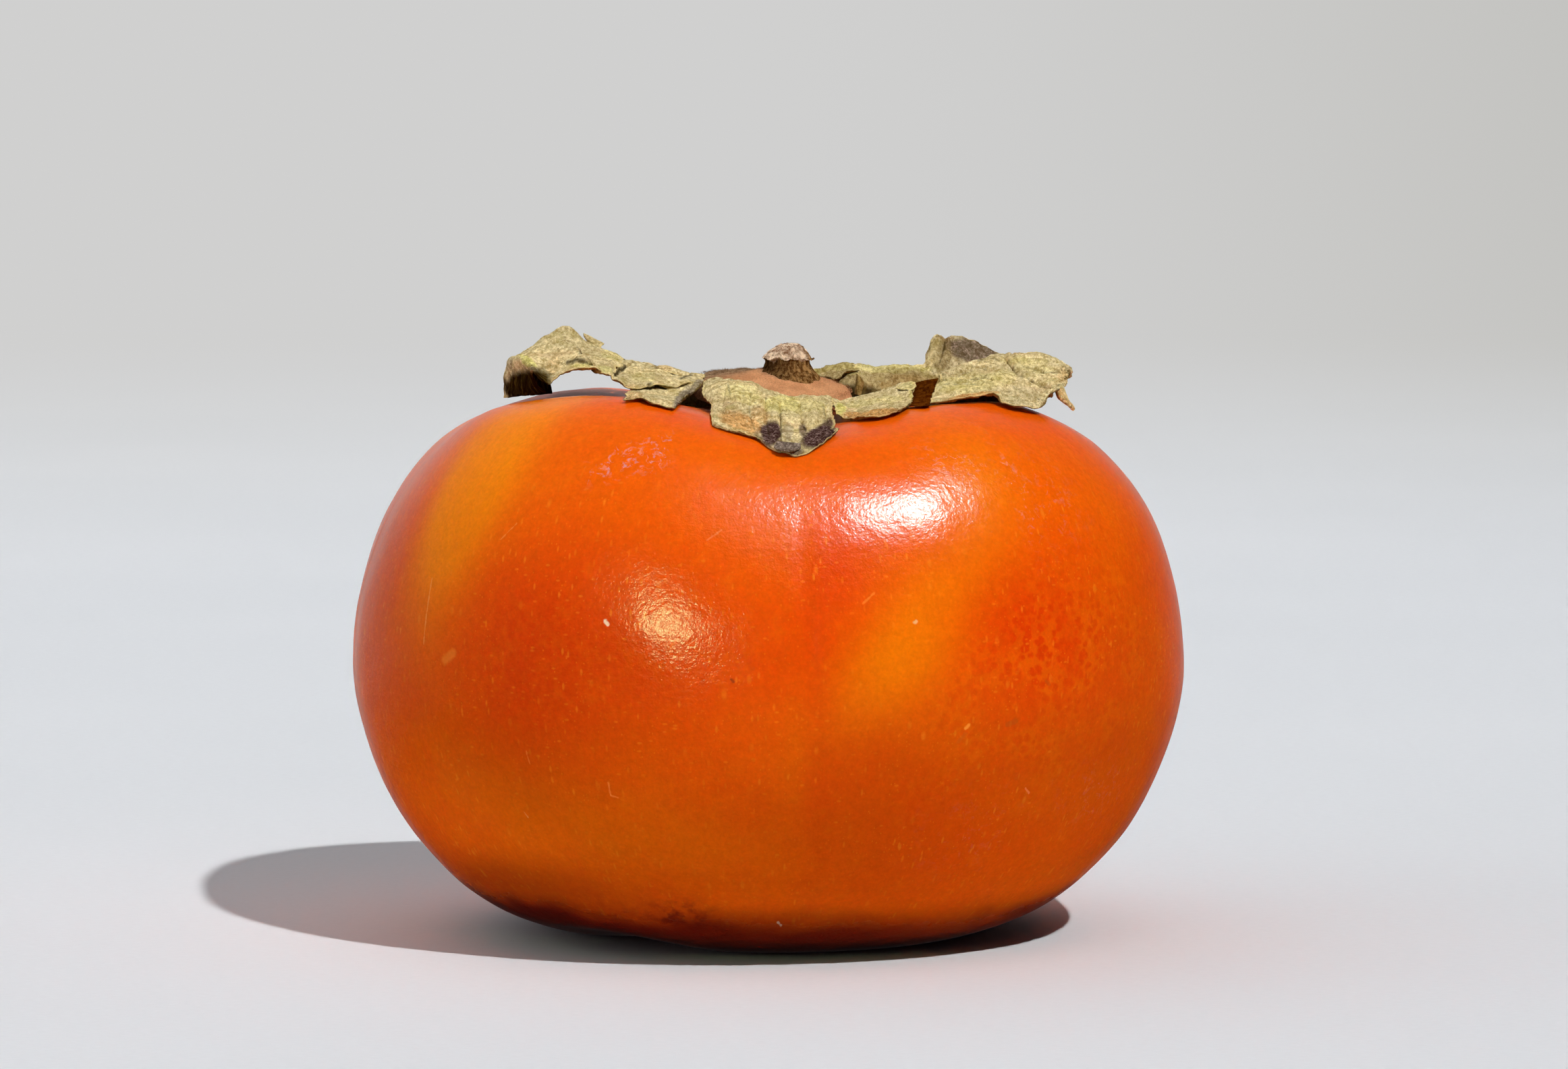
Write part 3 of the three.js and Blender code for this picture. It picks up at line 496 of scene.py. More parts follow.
        [(8.19, 6.2, 51.78), (10.71, 6.6, 51.76), (13.36, 7.2, 51.79), (15.5, 8.2, 51.73), (16.25, 8.8, 51.69), (16.85, 9.2, 51.67), (17.6, 9.8, 51.76), (18.75, 10.6, 51.85), (20.78, 12, 51.9), (24.16, 13.4, 51.95)],
        [(8.2, 7.2, 52.98), (10.59, 7.6, 52.96), (13.19, 8.6, 52.9), (15.41, 10, 52.82), (16.23, 11, 53.03), (16.84, 11.6, 53.12), (17.65, 12, 53.17), (18.86, 12.4, 53.21), (20.95, 13.2, 53.03), (24.13, 14.4, 52.56)],
        [(8.22, 8.6, 53.76), (10.61, 9, 53.67), (13.15, 10, 53.62), (15.45, 11.8, 53.51), (16.33, 12.6, 54.07), (16.88, 13.2, 54.37), (17.75, 13.6, 54.35), (19.04, 14.2, 54.31), (21.2, 14.8, 53.94), (24.03, 15.4, 53.1)],
        [(8.23, 9.6, 54.24), (10.63, 10.2, 53.97), (13.17, 11.2, 54.01), (15.48, 13.2, 53.97), (16.49, 14, 55.39), (16.98, 14.8, 55.62), (17.79, 15.2, 55.53), (19.21, 15.8, 55.56), (21.37, 16.2, 54.87), (23.85, 16.2, 53.73)],
        [(8.24, 10.4, 54.46), (10.64, 11, 54.13), (13.19, 12.2, 54.19), (15.57, 14.6, 54.19), (16.46, 15.4, 56.46), (16.94, 16, 56.62), (17.69, 16.6, 56.46), (19.18, 17, 56.57), (21.33, 17.2, 55.69), (23.67, 16.8, 54.3)],
        [(8.25, 11.6, 54.42), (10.66, 12.2, 54.06), (13.28, 13.4, 54.12), (15.65, 15.2, 54.19), (16.4, 15.8, 56.97), (17.02, 16.6, 56.95), (17.71, 17.2, 56.63), (19.19, 17.6, 56.88), (21.28, 17.8, 56.06), (23.55, 17.2, 54.81)],
    ],
    "BACK_FLAP": [
        [(8.5, 4.6, 51.88), (8.57, 5, 52.98), (8.71, 5.6, 54.07)],
        [(8.75, 3.6, 51.84), (8.89, 4.2, 52.83), (9, 4.8, 53.78)],
        [(9.15, 3.6, 51.81), (9.32, 4.4, 52.42), (9.43, 5.2, 53.03)],
    ],
    "BACK": [
        [(6.79, 5.97, 53.2), (4.9, 7.45, 53.18), (2.39, 8.41, 52.57), (-0.3, 8.55, 51.86), (-2.9, 7.86, 52.07), (-5.15, 6.39, 52.93)],
        [(7.81, 6.96, 53.86), (6.01, 9.37, 53.95), (2.95, 11.06, 52.97), (-0.61, 11.48, 51.79), (-3.93, 10.18, 52.23), (-6.43, 7.81, 53.48)],
        [(9.09, 8.2, 53.9), (7.4, 11.78, 54.14), (3.65, 14.36, 52.25), (-0.99, 15.14, 51.32), (-5.23, 13.09, 52.09), (-8.02, 9.57, 53.35)],
        [(10.5, 9.56, 53.48), (8.93, 14.43, 53.48), (4.43, 18, 51.43), (-1.41, 19.17, 50.43), (-6.65, 16.28, 51.22), (-9.77, 11.52, 52.48)],
        [(11.91, 10.92, 52.11), (10.46, 17.08, 52.74), (5.2, 21.64, 51.54), (-1.84, 23.19, 50.2), (-8.07, 19.48, 51.04), (-11.52, 13.47, 52.12)],
        [(13.19, 12.16, 52.1), (11.85, 19.49, 52.48), (5.9, 24.94, 51.05), (-2.22, 26.85, 49.71), (-9.37, 22.38, 51.29), (-13.12, 15.23, 52.65)],
    ],
    "BAND": [
        [(3.3, 7.6, 50.6), (4.8, 7.2, 50.81), (6.2, 6.5, 50.82), (7.5, 5.4, 50.59), (9.2, 4.9, 50.08), (11.2, 5.6, 49.89)],
        [(3.48, 7.68, 51.8), (5.05, 7.41, 51.96), (6.52, 6.88, 51.9), (7.82, 6.01, 51.69), (9.53, 5.67, 51.33), (11.53, 6.34, 51.16)],
        [(3.66, 8.06, 53), (5.31, 7.92, 53.11), (6.83, 7.55, 52.99), (8.14, 6.92, 52.79), (9.86, 6.75, 52.58), (11.86, 7.38, 52.44)],
        [(3.84, 8.6, 54.23), (5.57, 8.6, 54.29), (7.15, 8.4, 54.11), (8.48, 8, 53.93), (10.2, 8, 53.86), (12.19, 8.6, 53.76)],
    ],
    "CURL_BACK": [
        [(-24.46, 3, 54.94), (-23.46, 4.5, 54.46), (-22.45, 6, 53.85), (-21.33, 8, 53.07)],
        [(-24.88, 3.5, 53.86), (-23.74, 5, 53.51), (-22.61, 6.5, 53.03), (-21.28, 8.5, 52.58)],
        [(-25.23, 4, 52.65), (-23.89, 5.5, 52.49), (-22.62, 7, 52.27), (-21.23, 9, 52.15)],
        [(-25.51, 4.5, 51.49), (-24.05, 6, 51.6), (-22.64, 7.5, 51.64), (-21.24, 9.5, 51.72)],
    ],
    "ROOT_LEFT": [
        [(-10.08, 3.6, 50.03), (-8.56, 3.4, 50.04), (-6.71, 3, 50.07), (-4.87, 2.6, 50.09)],
        [(-9.75, 3.8, 51.2), (-8.43, 3.5, 51.29), (-6.71, 3.2, 51.5), (-4.87, 2.8, 51.66)],
        [(-9.22, 4, 52.12), (-8.16, 3.6, 52.47), (-6.71, 3.4, 52.81), (-4.87, 3, 52.97)],
    ],
    "RIGHT_UNDER": [
        [(15.17, -7, 51.08), (16.99, -7, 51.21), (18.93, -7, 51.28), (21.01, -7, 51.34), (22.84, -6.5, 51.38)],
        [(15.32, -6.2, 51.68), (17.01, -6.2, 51.81), (18.96, -5.8, 51.92), (21.04, -5.8, 52.05), (22.88, -5.2, 52.01)],
        [(15.47, -5, 52.26), (17.03, -5, 52.46), (19.01, -4, 52.59), (21.1, -4, 52.72), (22.95, -3, 52.6)],
    ],
}

# ------------------------------------------------------------------ node helpers


class Mat:
    def __init__(self, name):
        self.m = bpy.data.materials.new(name)
        self.m.use_nodes = True
        self.t = self.m.node_tree
        self.t.nodes.clear()
        self.out = self.t.nodes.new("ShaderNodeOutputMaterial")
        self.p = self.t.nodes.new("ShaderNodeBsdfPrincipled")
        self.t.links.new(self.p.outputs[0], self.out.inputs[0])
        self.co = self.node("ShaderNodeTexCoord").outputs["Object"]

    def node(self, kind, **props):
        n = self.t.nodes.new(kind)
        for k, v in props.items():
            setattr(n, k, v)
        return n

    def node_colour(self, size_mm):
        """a small wandering offset, for breaking up regular cells"""
        n = self.node("ShaderNodeTexNoise")
        self.put(n.inputs["Vector"], self.co)
        n.inputs["Scale"].default_value = 1000.0 / size_mm
        n.inputs["Detail"].default_value = 2.0
        return n.outputs["Color"]

    def put(self, socket, value):
        if isinstance(value, bpy.types.NodeSocket):
            self.t.links.new(value, socket)
        elif value is not None:
            socket.default_value = value

    def math(self, op, a, b=None, c=None, clamp=False):
        n = self.node("ShaderNodeMath", operation=op, use_clamp=clamp)
        for i, v in enumerate((a, b, c)):
            self.put(n.inputs[i], v)
        return n.outputs[0]

    def vec(self, op, a, b=None, scale=None):
        n = self.node("ShaderNodeVectorMath", operation=op)
        self.put(n.inputs[0], a)
        if b is not None:
            self.put(n.inputs[1], b)
        if scale is not None:
            self.put(n.inputs["Scale"], scale)
        return n.outputs["Value"] if op in ("LENGTH", "DOT_PRODUCT", "DISTANCE") else n.outputs[0]

    def attr(self, name, vector=False):
        n = self.node("ShaderNodeAttribute", attribute_name=name)
        return n.outputs["Vector"] if vector else n.outputs["Fac"]

    def noise(self, size_mm=None, detail=3.0, rough=0.55, at=None, scale=None, distortion=0.0):
        n = self.node("ShaderNodeTexNoise")
        self.put(n.inputs["Vector"], at if at is not None else self.co)
        n.inputs["Scale"].default_value = scale if scale is not None else 1000.0 / size_mm
        n.inputs["Detail"].default_value = detail
        n.inputs["Roughness"].default_value = rough
        n.inputs["Distortion"].default_value = distortion
        return n.outputs["Fac"]

    def voronoi(self, size_mm, at=None, scale=None, feature="F1", out="Distance", rand=1.0):
        n = self.node("ShaderNodeTexVoronoi", feature=feature)
        self.put(n.inputs["Vector"], at if at is not None else self.co)
        n.inputs["Scale"].default_value = scale if scale is not None else 1000.0 / size_mm
        n.inputs["Randomness"].default_value = rand
        return n.outputs[out]

    def ramp(self, x, a, b, lo=0.0, hi=1.0, soft=True):
        n = self.node("ShaderNodeMapRange", interpolation_type="SMOOTHSTEP" if soft else "LINEAR")
        self.put(n.inputs["Value"], x)
        for k, v in zip(("From Min", "From Max", "To Min", "To Max"), (a, b, lo, hi)):
            n.inputs[k].default_value = v
        return n.outputs[0]

    def mix(self, f, a, b, blend="MIX"):
        n = self.node("ShaderNodeMix", data_type="RGBA", blend_type=blend)
        self.put(n.inputs[0], f)
        self.put(n.inputs[6], a if isinstance(a, bpy.types.NodeSocket) else (*a, 1))
        self.put(n.inputs[7], b if isinstance(b, bpy.types.NodeSocket) else (*b, 1))
        return n.outputs[2]

    def bright(self, colour, f):
        """colour times a scalar"""
        return self.vec("SCALE", colour, scale=f)

    def bump(self, height, mm, normal=None):
        n = self.node("ShaderNodeBump")
        n.inputs["Strength"].default_value = 1.0
        n.inputs["Distance"].default_value = mm * MM
        self.put(n.inputs["Height"], height)
        if normal is not None:
            self.put(n.inputs["Normal"], normal)
        return n.outputs[0]

    def stretch(self, v, x, y, z):
        return self.vec("MULTIPLY", v, (x, y, z))


def srgb(r, g, b):
    f = lambda c: c / 12.92 if c <= 0.04045 else ((c + 0.055) / 1.055) ** 2.4
    return tuple(f(c / 255) for c in (r, g, b))


# ------------------------------------------------------------------ fruit skin
def skin_material():
    m = Mat("fruit_skin_wax")
    p = m.p
    yellow, red, base, mottle, scuff = (m.attr(k) for k in ("yellow", "red", "basedark", "mottle", "scuff"))
    # azimuth from the front in mm round the belt, and height in mm
    sep = m.node("ShaderNodeSeparateXYZ")
    m.put(sep.inputs[0], m.co)
    az = m.math("ARCTAN2", sep.outputs[0], m.math("MULTIPLY", sep.outputs[1], -1.0))
    s = m.math("MULTIPLY", az, 40.4)
    z = m.math("MULTIPLY", sep.outputs[2], 1000.0)
    comb = m.node("ShaderNodeCombineXYZ")
    m.put(comb.inputs[0], s)
    m.put(comb.inputs[1], z)
    sz = comb.outputs[0]

    broad = m.noise(14.0, 2.0, 0.5)
    orange = m.mix(m.ramp(broad, 0.3, 0.7), (0.86, 0.096, 0.0010), (0.88, 0.124, 0.0012))
    # fine up-and-down streaks in the flesh under the skin
    streak = m.noise(scale=1.0, at=m.stretch(sz, 0.9, 0.07, 1), detail=4.0, rough=0.6)
    y_mask = m.math("ADD", yellow, m.math("MULTIPLY", m.math("SUBTRACT", streak, 0.5), 0.30))
    y_mask = m.math("ADD", y_mask, m.math("MULTIPLY", m.math("SUBTRACT", m.noise(2.2, 3.0), 0.5), 0.22), clamp=True)
    col = m.mix(y_mask, orange, (0.98, 0.250, 0.0014))
    r_mask = m.math("ADD", red, m.math("MULTIPLY", m.math("SUBTRACT", streak, 0.5), 0.25), clamp=True)
    col = m.mix(r_mask, col, (0.77, 0.047, 0.0010))
    # darker red cells with paler flesh between them
    cn = m.node("ShaderNodeTexVoronoi", feature="SMOOTH_F1")
    m.put(cn.inputs["Vector"], m.vec("ADD", sz, m.vec("SCALE", m.node_colour(1.3), scale=0.9)))
    cn.inputs["Scale"].default_value = 1.12
    cn.inputs["Smoothness"].default_value = 0.25
    cells = m.math("ADD", cn.outputs["Distance"], m.math("MULTIPLY", m.math("SUBTRACT", m.noise(0.9, 3.0, 0.6), 0.5), 0.55))
    fade = m.ramp(m.noise(4.0, 2.0), 0.35, 0.60)
    cmask = m.math("MULTIPLY", m.math("MULTIPLY", m.ramp(cells, 0.34, 0.62), fade), mottle, clamp=True)
    col = m.mix(m.math("MULTIPLY", cmask, 0.42), col, (0.95, 0.175, 0.0016))
    dmask = m.math("MULTIPLY", m.math("MULTIPLY", m.ramp(cells, 0.34, 0.12), fade), mottle, clamp=True)
    col = m.mix(m.math("MULTIPLY", dmask, 0.24), col, (0.70, 0.036, 0.0010))
    # short pale freckles lying every way, thick in places
    crowd = m.ramp(m.noise(7.0, 2.0), 0.40, 0.62)
    for k, (sx, sy, sc, gate, amt) in enumerate([(1.0, 0.40, 1.5, 0.62, 0.55), (0.5, 1.0, 1.7, 0.70, 0.46), (1.0, 0.9, 2.6, 0.58, 0.42), (1.0, 0.55, 0.8, 0.80, 0.50)]):
        at = m.vec("ADD", m.stretch(sz, sx, sy, 1), (13.0 * k, 5.0 * k, 0))
        vn = m.node("ShaderNodeTexVoronoi")
        m.put(vn.inputs["Vector"], at)
        vn.inputs["Scale"].default_value = sc
        cs = m.node("ShaderNodeSeparateColor")
        m.put(cs.inputs[0], vn.outputs["Color"])
        dot = m.ramp(vn.outputs["Distance"], 0.28, 0.09)
        gatev = m.math("MULTIPLY", m.ramp(cs.outputs[0], gate, gate + 0.03), m.math("ADD", m.math("MULTIPLY", crowd, 0.75), 0.45))
        gatev = m.math("MULTIPLY", gatev, m.ramp(z, 49.0, 43.0, 0.15, 1.0))
        col = m.mix(m.math("MULTIPLY", m.math("MULTIPLY", dot, gatev), amt), col, (0.98, 0.235, 0.012))
    # fine grain
    grain = m.noise(0.30, 3.0, 0.65)
    col = m.bright(col, m.math("MULTIPLY", m.ramp(grain, 0.25, 0.75, 0.92, 1.08, soft=False), m.ramp(m.noise(0.75, 2.0, 0.55), 0.30, 0.70, 0.95, 1.05, soft=False)))
    col = m.mix(m.ramp(m.noise(1.6, 4.0, 0.6), 0.50, 0.78, 0.0, 0.22), col, (0.98, 0.185, 0.002))
    # painted shade: the skin is darkened towards the base and in soft patches round the front and sides
    col = m.bright(col, m.ramp(m.attr("shade"), 0.0, 1.0, 1.0, 0.66, soft=False))
    # short scratches and marks: (from, to, width in mm, colour, strength)
    marks = [((-36.4, 36.4), (-36.9, 30.2), 0.08, (0.98, 0.42, 0.10), 0.35), ((-33.6, 28.9), (-32.4, 29.7), 0.42, (0.93, 0.30, 0.03), 0.35),
             ((-15.3, 33.5), (-15.0, 33.2), 0.16, (1.0, 0.70, 0.42), 0.95), ((9.1, 35.2), (10.2, 36.1), 0.10, (0.98, 0.26, 0.03), 0.6),
             ((-3.4, 28.4), (-3.2, 28.2), 0.12, (0.20, 0.03, 0.004), 0.7), ((-15.6, 18.4), (-15.5, 17.2), 0.07, (0.97, 0.26, 0.05), 0.5),
             ((-15.5, 17.2), (-14.8, 17.0), 0.07, (0.97, 0.26, 0.05), 0.5), ((18.4, 22.2), (19.0, 22.9), 0.20, (0.60, 0.12, 0.01), 0.4),
             ((19.0, 23.4), (19.3, 23.7), 0.16, (0.98, 0.34, 0.04), 0.7), ((23.5, 23.5), (24.4, 23.8), 0.26, (0.46, 0.085, 0.010), 0.45),
             ((14.0, 33.4), (14.1, 33.5), 0.14, (1.0, 0.50, 0.20), 0.9), ((1.3, 4.4), (1.7, 4.1), 0.14, (0.95, 0.70, 0.50), 0.8), ((-6.0, 41.0), (-4.6, 41.9), 0.07, (0.95, 0.30, 0.10), 0.4),
             ((6.9, 44.6), (11.0, 43.9), 0.06, (0.96, 0.20, 0.06), 0.5), ((27.0, 17.2), (27.6, 16.7), 0.08, (0.96, 0.32, 0.12), 0.4),
             ((-24.0, 21.0), (-23.8, 19.8), 0.07, (0.96, 0.28, 0.06), 0.4), ((-26.0, 15.0), (-25.7, 14.5), 0.08, (0.97, 0.40, 0.12), 0.4),
             ((27.8, 27.4), (28.2, 27.0), 0.16, (0.50, 0.09, 0.01), 0.4), ((-27.5, 40.5), (-26.0, 42.0), 0.05, (0.98, 0.40, 0.10), 0.35)]
    wobble = m.math("MULTIPLY", m.math("SUBTRACT", m.noise(0.5, 3.0), 0.5), 0.34)
    for (ax, ay), (bx, by), width, colour, amount in marks:
        pa = m.vec("SUBTRACT", sz, (ax, ay, 0))
        ba = (bx - ax, by - ay, 0)
        h = m.math("DIVIDE", m.vec("DOT_PRODUCT", pa, ba), (bx - ax) ** 2 + (by - ay) ** 2, clamp=True)
        n = m.node("ShaderNodeVectorMath", operation="SCALE")
        n.inputs[0].default_value = ba
        m.put(n.inputs["Scale"], h)
        d = m.math("ADD", m.vec("LENGTH", m.vec("SUBTRACT", pa, n.outputs[0])), wobble)
        col = m.mix(m.ramp(d, width * 1.5, width * 0.5, 0.0, amount), col, colour)
    # rubbed wax, pale violet, in broken flecks
    fleck = m.ramp(m.noise(0.95, 5.0, 0.72, distortion=0.8), 0.54, 0.61)
    s_mask = m.math("MULTIPLY", fleck, scuff, clamp=True)
    col = m.mix(m.math("MULTIPLY", s_mask, 0.50), col, m.mix(m.ramp(m.noise(0.5, 2.0), 0.5, 0.6), (0.90, 0.30, 0.20), (0.66, 0.42, 0.52)))
    # dark stain round the base, and skin darker towards the base: partly its own dark colour, partly painted shade
    stain = m.ramp(m.noise(1.6, 5.0, 0.6), 0.40, 0.66)
    col = m.mix(m.math("MULTIPLY", m.attr("stain"), stain, clamp=True), col, (0.16, 0.012, 0.002))
    col = m.mix(base, col, (0.12, 0.0050, 0.0009))
    # painted shadow: a dark, streaked band of skin behind the left sepal, as in the sepal's shadow; partly the skin's
    # own darker colour
    crest = m.noise(scale=1.0, at=m.stretch(m.co, 120, 420, 2200), detail=4.0, rough=0.7)
    col = m.mix(m.attr("crest"), col, m.mix(m.ramp(crest, 0.42, 0.66), (0.045, 0.018, 0.013), (0.24, 0.115, 0.090)))
    # greenish-brown, matt skin hidden under the calyx
    col = m.mix(m.attr("hollow"), col, (0.30, 0.075, 0.012))
    m.put(p.inputs["Base Color"], col)
    rough = m.math("ADD", 0.185, m.math("MULTIPLY", m.math("SUBTRACT", m.noise(1.5, 4.0), 0.5), 0.10))
    rough = m.math("ADD", rough, m.math("MULTIPLY", s_mask, 0.12))
    dull = m.math("MAXIMUM", m.attr("crest"), m.math("MAXIMUM", m.attr("hollow"), base))
    rough = m.math("ADD", rough, m.math("MULTIPLY", dull, 0.16))
    m.put(p.inputs["Roughness"], rough)
    p.inputs["IOR"].default_value = 1.10
    p.inputs["Subsurface Weight"].default_value = 0.12
    p.inputs["Subsurface Radius"].default_value = (1.0, 0.25, 0.08)
    p.inputs["Subsurface Scale"].default_value = 0.0025
    h = m.math("MULTIPLY", m.noise(0.42, 3.0, 0.6), 0.034)
    h = m.math("ADD", h, m.math("MULTIPLY", m.noise(1.7, 3.0, 0.6), 0.054))
    h = m.math("ADD", h, m.math("MULTIPLY", m.noise(0.17, 2.0), 0.011))
    # long faint brush lines across the wax
    h = m.math("ADD", h, m.math("MULTIPLY", m.noise(scale=1.0, at=m.stretch(sz, 0.35, 3.2, 1), detail=3.0), 0.008))
    h = m.math("SUBTRACT", h, m.math("MULTIPLY", s_mask, 0.02))
    m.put(p.inputs["Normal"], m.bump(h, 1.0))
    return m.m


def patch(phi_deg, z, centre, size, turn=0.0, power=1.0):
    """Soft oval patch: centre (azimuth, height), half sizes in mm along and across, turned."""
    a = np.radians((phi_deg - centre[0] + 180) % 360 - 180) * 40.4
    b = z - centre[1]
    c, s = math.cos(math.radians(turn)), math.sin(math.radians(turn))
    u, v = a * c + b * s, -a * s + b * c
    return np.exp(-(((u / size[0]) ** 2 + (v / size[1]) ** 2) ** power))


def build_fruit():
    around, rows = 400, 228
    t_fine = np.linspace(0, 1, 4000)
    q = profile(t_fine)
    arc = np.concatenate([[0], np.cumsum(np.linalg.norm(np.diff(q, axis=0), axis=1))])
    t = np.interp(np.linspace(0, arc[-1], rows), arc, t_fine)
    phi = np.linspace(0, 2 * math.pi, around, endpoint=False)
    T, PH = np.meshgrid(t, phi, indexing="ij")
    P = fruit_point(T, PH)
    dT = np.gradient(P, axis=0)
    dP = np.roll(P, -1, 1) - np.roll(P, 1, 1)
    N = unit(np.cross(dP, dT))
    N[0], N[-1] = (0, 0, -1), (0, 0, 1)
    R = np.hypot(P[..., 0], P[..., 1])
    z = P[..., 2]
    lift = smooth(0.4, 5, z) * smooth(2, 8, R)
    off = lift * (0.16 * fbm(P / 13.0, 2) + 0.035 * fbm(P / 4.5 + 4, 2))
    deg = np.degrees(PH)
    belt = smooth(5, 12, z) * smooth(47, 34, z)
    for k, az in enumerate((275.8, 5.8, 95.8, 185.8)):
        d = np.radians((deg - az - 0.8 * np.sin(z / 9 + k) + 180) % 360 - 180) * R
        off = off - belt * (0.10 * np.exp(-(d / 0.55) ** 2) + 0.10 * np.exp(-(d / 3.0) ** 2)) + belt * 0.05 * np.exp(-((np.abs(d) - 1.6) / 0.8) ** 2)
    # puckered skin round the blossom-end dimple and under the calyx
    off = off + 0.10 * smooth(9, 5, R) * smooth(0.5, 2.5, R) * np.sin(16 * PH + 2 * np.sin(3 * PH)) * (z < 10)
    off = off + 0.05 * smooth(16, 8, R) * smooth(1.5, 5, R) * fbm(stack(R / 3, np.cos(PH) * 6, np.sin(PH) * 6), 3) * (z > 40)
    P = P + N * off[..., None]
    P[..., 2] = np.maximum(P[..., 2], 0)
    # keep inside the CAD's width
    lim = 40.36
    P[..., 0] = np.clip(P[..., 0], -lim, lim)
    P[..., 1] = np.clip(P[..., 1], -lim, lim)
    V, F = lathe(P)
    yellow = 1.25 * patch(deg, z, (222.0, 43.8), (11.5, 6.0), 74, 1.3)
    yellow += 0.55 * patch(deg, z, (213.5, 49.5), (5, 5))
    yellow += 0.85 * patch(deg, z, (291.0, 32.5), (12.5, 4.4), 42, 1.3)
    yellow += 0.35 * patch(deg, z, (303, 45), (7, 4.5), 60)
    yellow += 0.22 * patch(deg, z, (273.8, 23.0), (9.0, 1.3), 90)
    yellow += 0.20 * patch(deg, z, (243, 13), (22, 5.0), -8) + 0.12 * patch(deg, z, (272, 13), (16, 3.5))
    yellow += 0.16 * patch(deg, z, (250, 44), (14, 6)) + 0.20 * patch(deg, z, (298, 47), (12, 4))
    yellow += 0.75 * patch(deg, z, (72, 36), (13, 5), 55, 1.2) + 0.7 * patch(deg, z, (134, 30), (12, 5), -48, 1.2) + 0.6 * patch(deg, z, (8, 30), (11, 4.5), 62, 1.2) + 0.6 * patch(deg, z, (165, 44), (9, 5), 20)
    red = 0.75 * patch(deg, z, (238.5, 33.5), (12, 9.5), 40) + 0.55 * patch(deg, z, (262, 31), (12, 6.5)) + 0.35 * patch(deg, z, (240, 24), (16, 5))
    red += 0.65 * patch(deg, z, (279.5, 38.5), (4.5, 6), 0) + 0.80 * patch(deg, z, (305.0, 32.0), (9, 8.5), -30)
    red += 0.40 * patch(deg, z, (320, 30), (12, 9)) + 0.45 * patch(deg, z, (292, 12), (17, 6)) + 0.3 * patch(deg, z, (285, 20), (5, 6)) + 0.35 * patch(deg, z, (276, 24), (3.0, 12))
    red += 0.5 * patch(deg, z, (40, 33), (14, 10)) + 0.5 * patch(deg, z, (110, 36), (12, 9)) + 0.5 * patch(deg, z, (150, 30), (10, 11))
    # darker towards the base: partly the skin's own dark colour, partly painted shade of the contact and underside
    basedark = smooth(6.6, 3.0, z + 1.1 * fbm(P / 6.0, 2)) * 0.95 * (z < 30) + 0.40 * patch(deg, z, (225, 5.8), (12, 3.6), 0, 1.4) - 0.45 * patch(deg, z, (311, 5.8), (15, 3.4), 0, 1.4)
    # painted shade: darker towards the base and in soft patches on the lower right, lower front, left flank and bottom
    # left
    shade = 1.6 * smooth(7.0, 3.2, z) * (z < 30) + 0.62 * patch(deg, z, (303, 17), (27, 8), 0, 1.5) + 0.42 * patch(deg, z, (268, 11), (20, 6.5), 0, 1.5) + 0.45 * patch(deg, z, (238, 20), (16, 9)) + 0.5 * patch(deg, z, (330, 28), (14, 14)) + 1.25 * patch(deg, z, (226, 5.5), (20, 4.5), 0, 1.5) + 0.60 * patch(deg, z, (196, 30), (18, 18)) + 0.30 * patch(deg, z, (245, 31), (16, 8)) + 0.22 * patch(deg, z, (285, 24), (12, 8))
    x_, y_ = P[..., 0], P[..., 1]
    # painted shadow of the left sepal on the far shoulder behind it, with streaks; partly the skin's own darker colour
    crest = 0.78 * np.exp(-((x_ + 19.5) / 5.5) ** 2 - ((y_ - 9.0) / 7.0) ** 2) * (z > 44) * np.clip(0.9 + 0.8 * fbm(P / 3.0, 3), 0, 1)
    mottle = patch(deg, z, (312, 27.5), (17, 10.5), 25, 1.4) + 0.25 * patch(deg, z, (236, 30), (12, 8)) + 0.3 * patch(deg, z, (262, 30), (12, 5)) + 0.6 * patch(deg, z, (60, 28), (16, 10))
    scuff = 0.95 * patch(deg, z, (247.0, 48.0), (3.6, 1.5), 20, 1.6) + 0.9 * patch(deg, z, (252.0, 48.6), (1.6, 1.6), 60, 1.4) + 0.50 * patch(deg, z, (300, 47.5), (3.6, 1.4), -10) + 0.45 * patch(deg, z, (309.5, 45.0), (0.9, 4.5), 0) + 0.15 * patch(deg, z, (325, 16), (6, 3)) + 0.5 * patch(deg, z, (70, 46), (6, 2.5))
    scuff += 0.12 * patch(deg, z, (300, 13), (5.0, 4.0)) + 0.22 * patch(deg, z, (315, 44), (4.0, 4.0))
    stain = patch(deg, z, (254.5, 4.8), (4.6, 2.0), 0, 1.4) + 0.5 * patch(deg, z, (241, 5.4), (3.0, 1.6)) + 0.6 * patch(deg, z, (96, 4), (6, 2)) + smooth(6.5, 3.5, R) * (z < 10)
    hollow = smooth(17, 10, R) * (z > 40) * 0.8 + smooth(8, 4, R) * (z < 10) * 0.6
    attrs = {k: ring_attr(np.clip(v, 0, 1)) for k, v in dict(yellow=yellow, red=red, basedark=basedark, mottle=mottle, scuff=scuff, stain=stain, hollow=hollow, shade=shade, crest=crest).items()}
    return add_mesh("fruit_skin", V, F, attrs, skin_material())


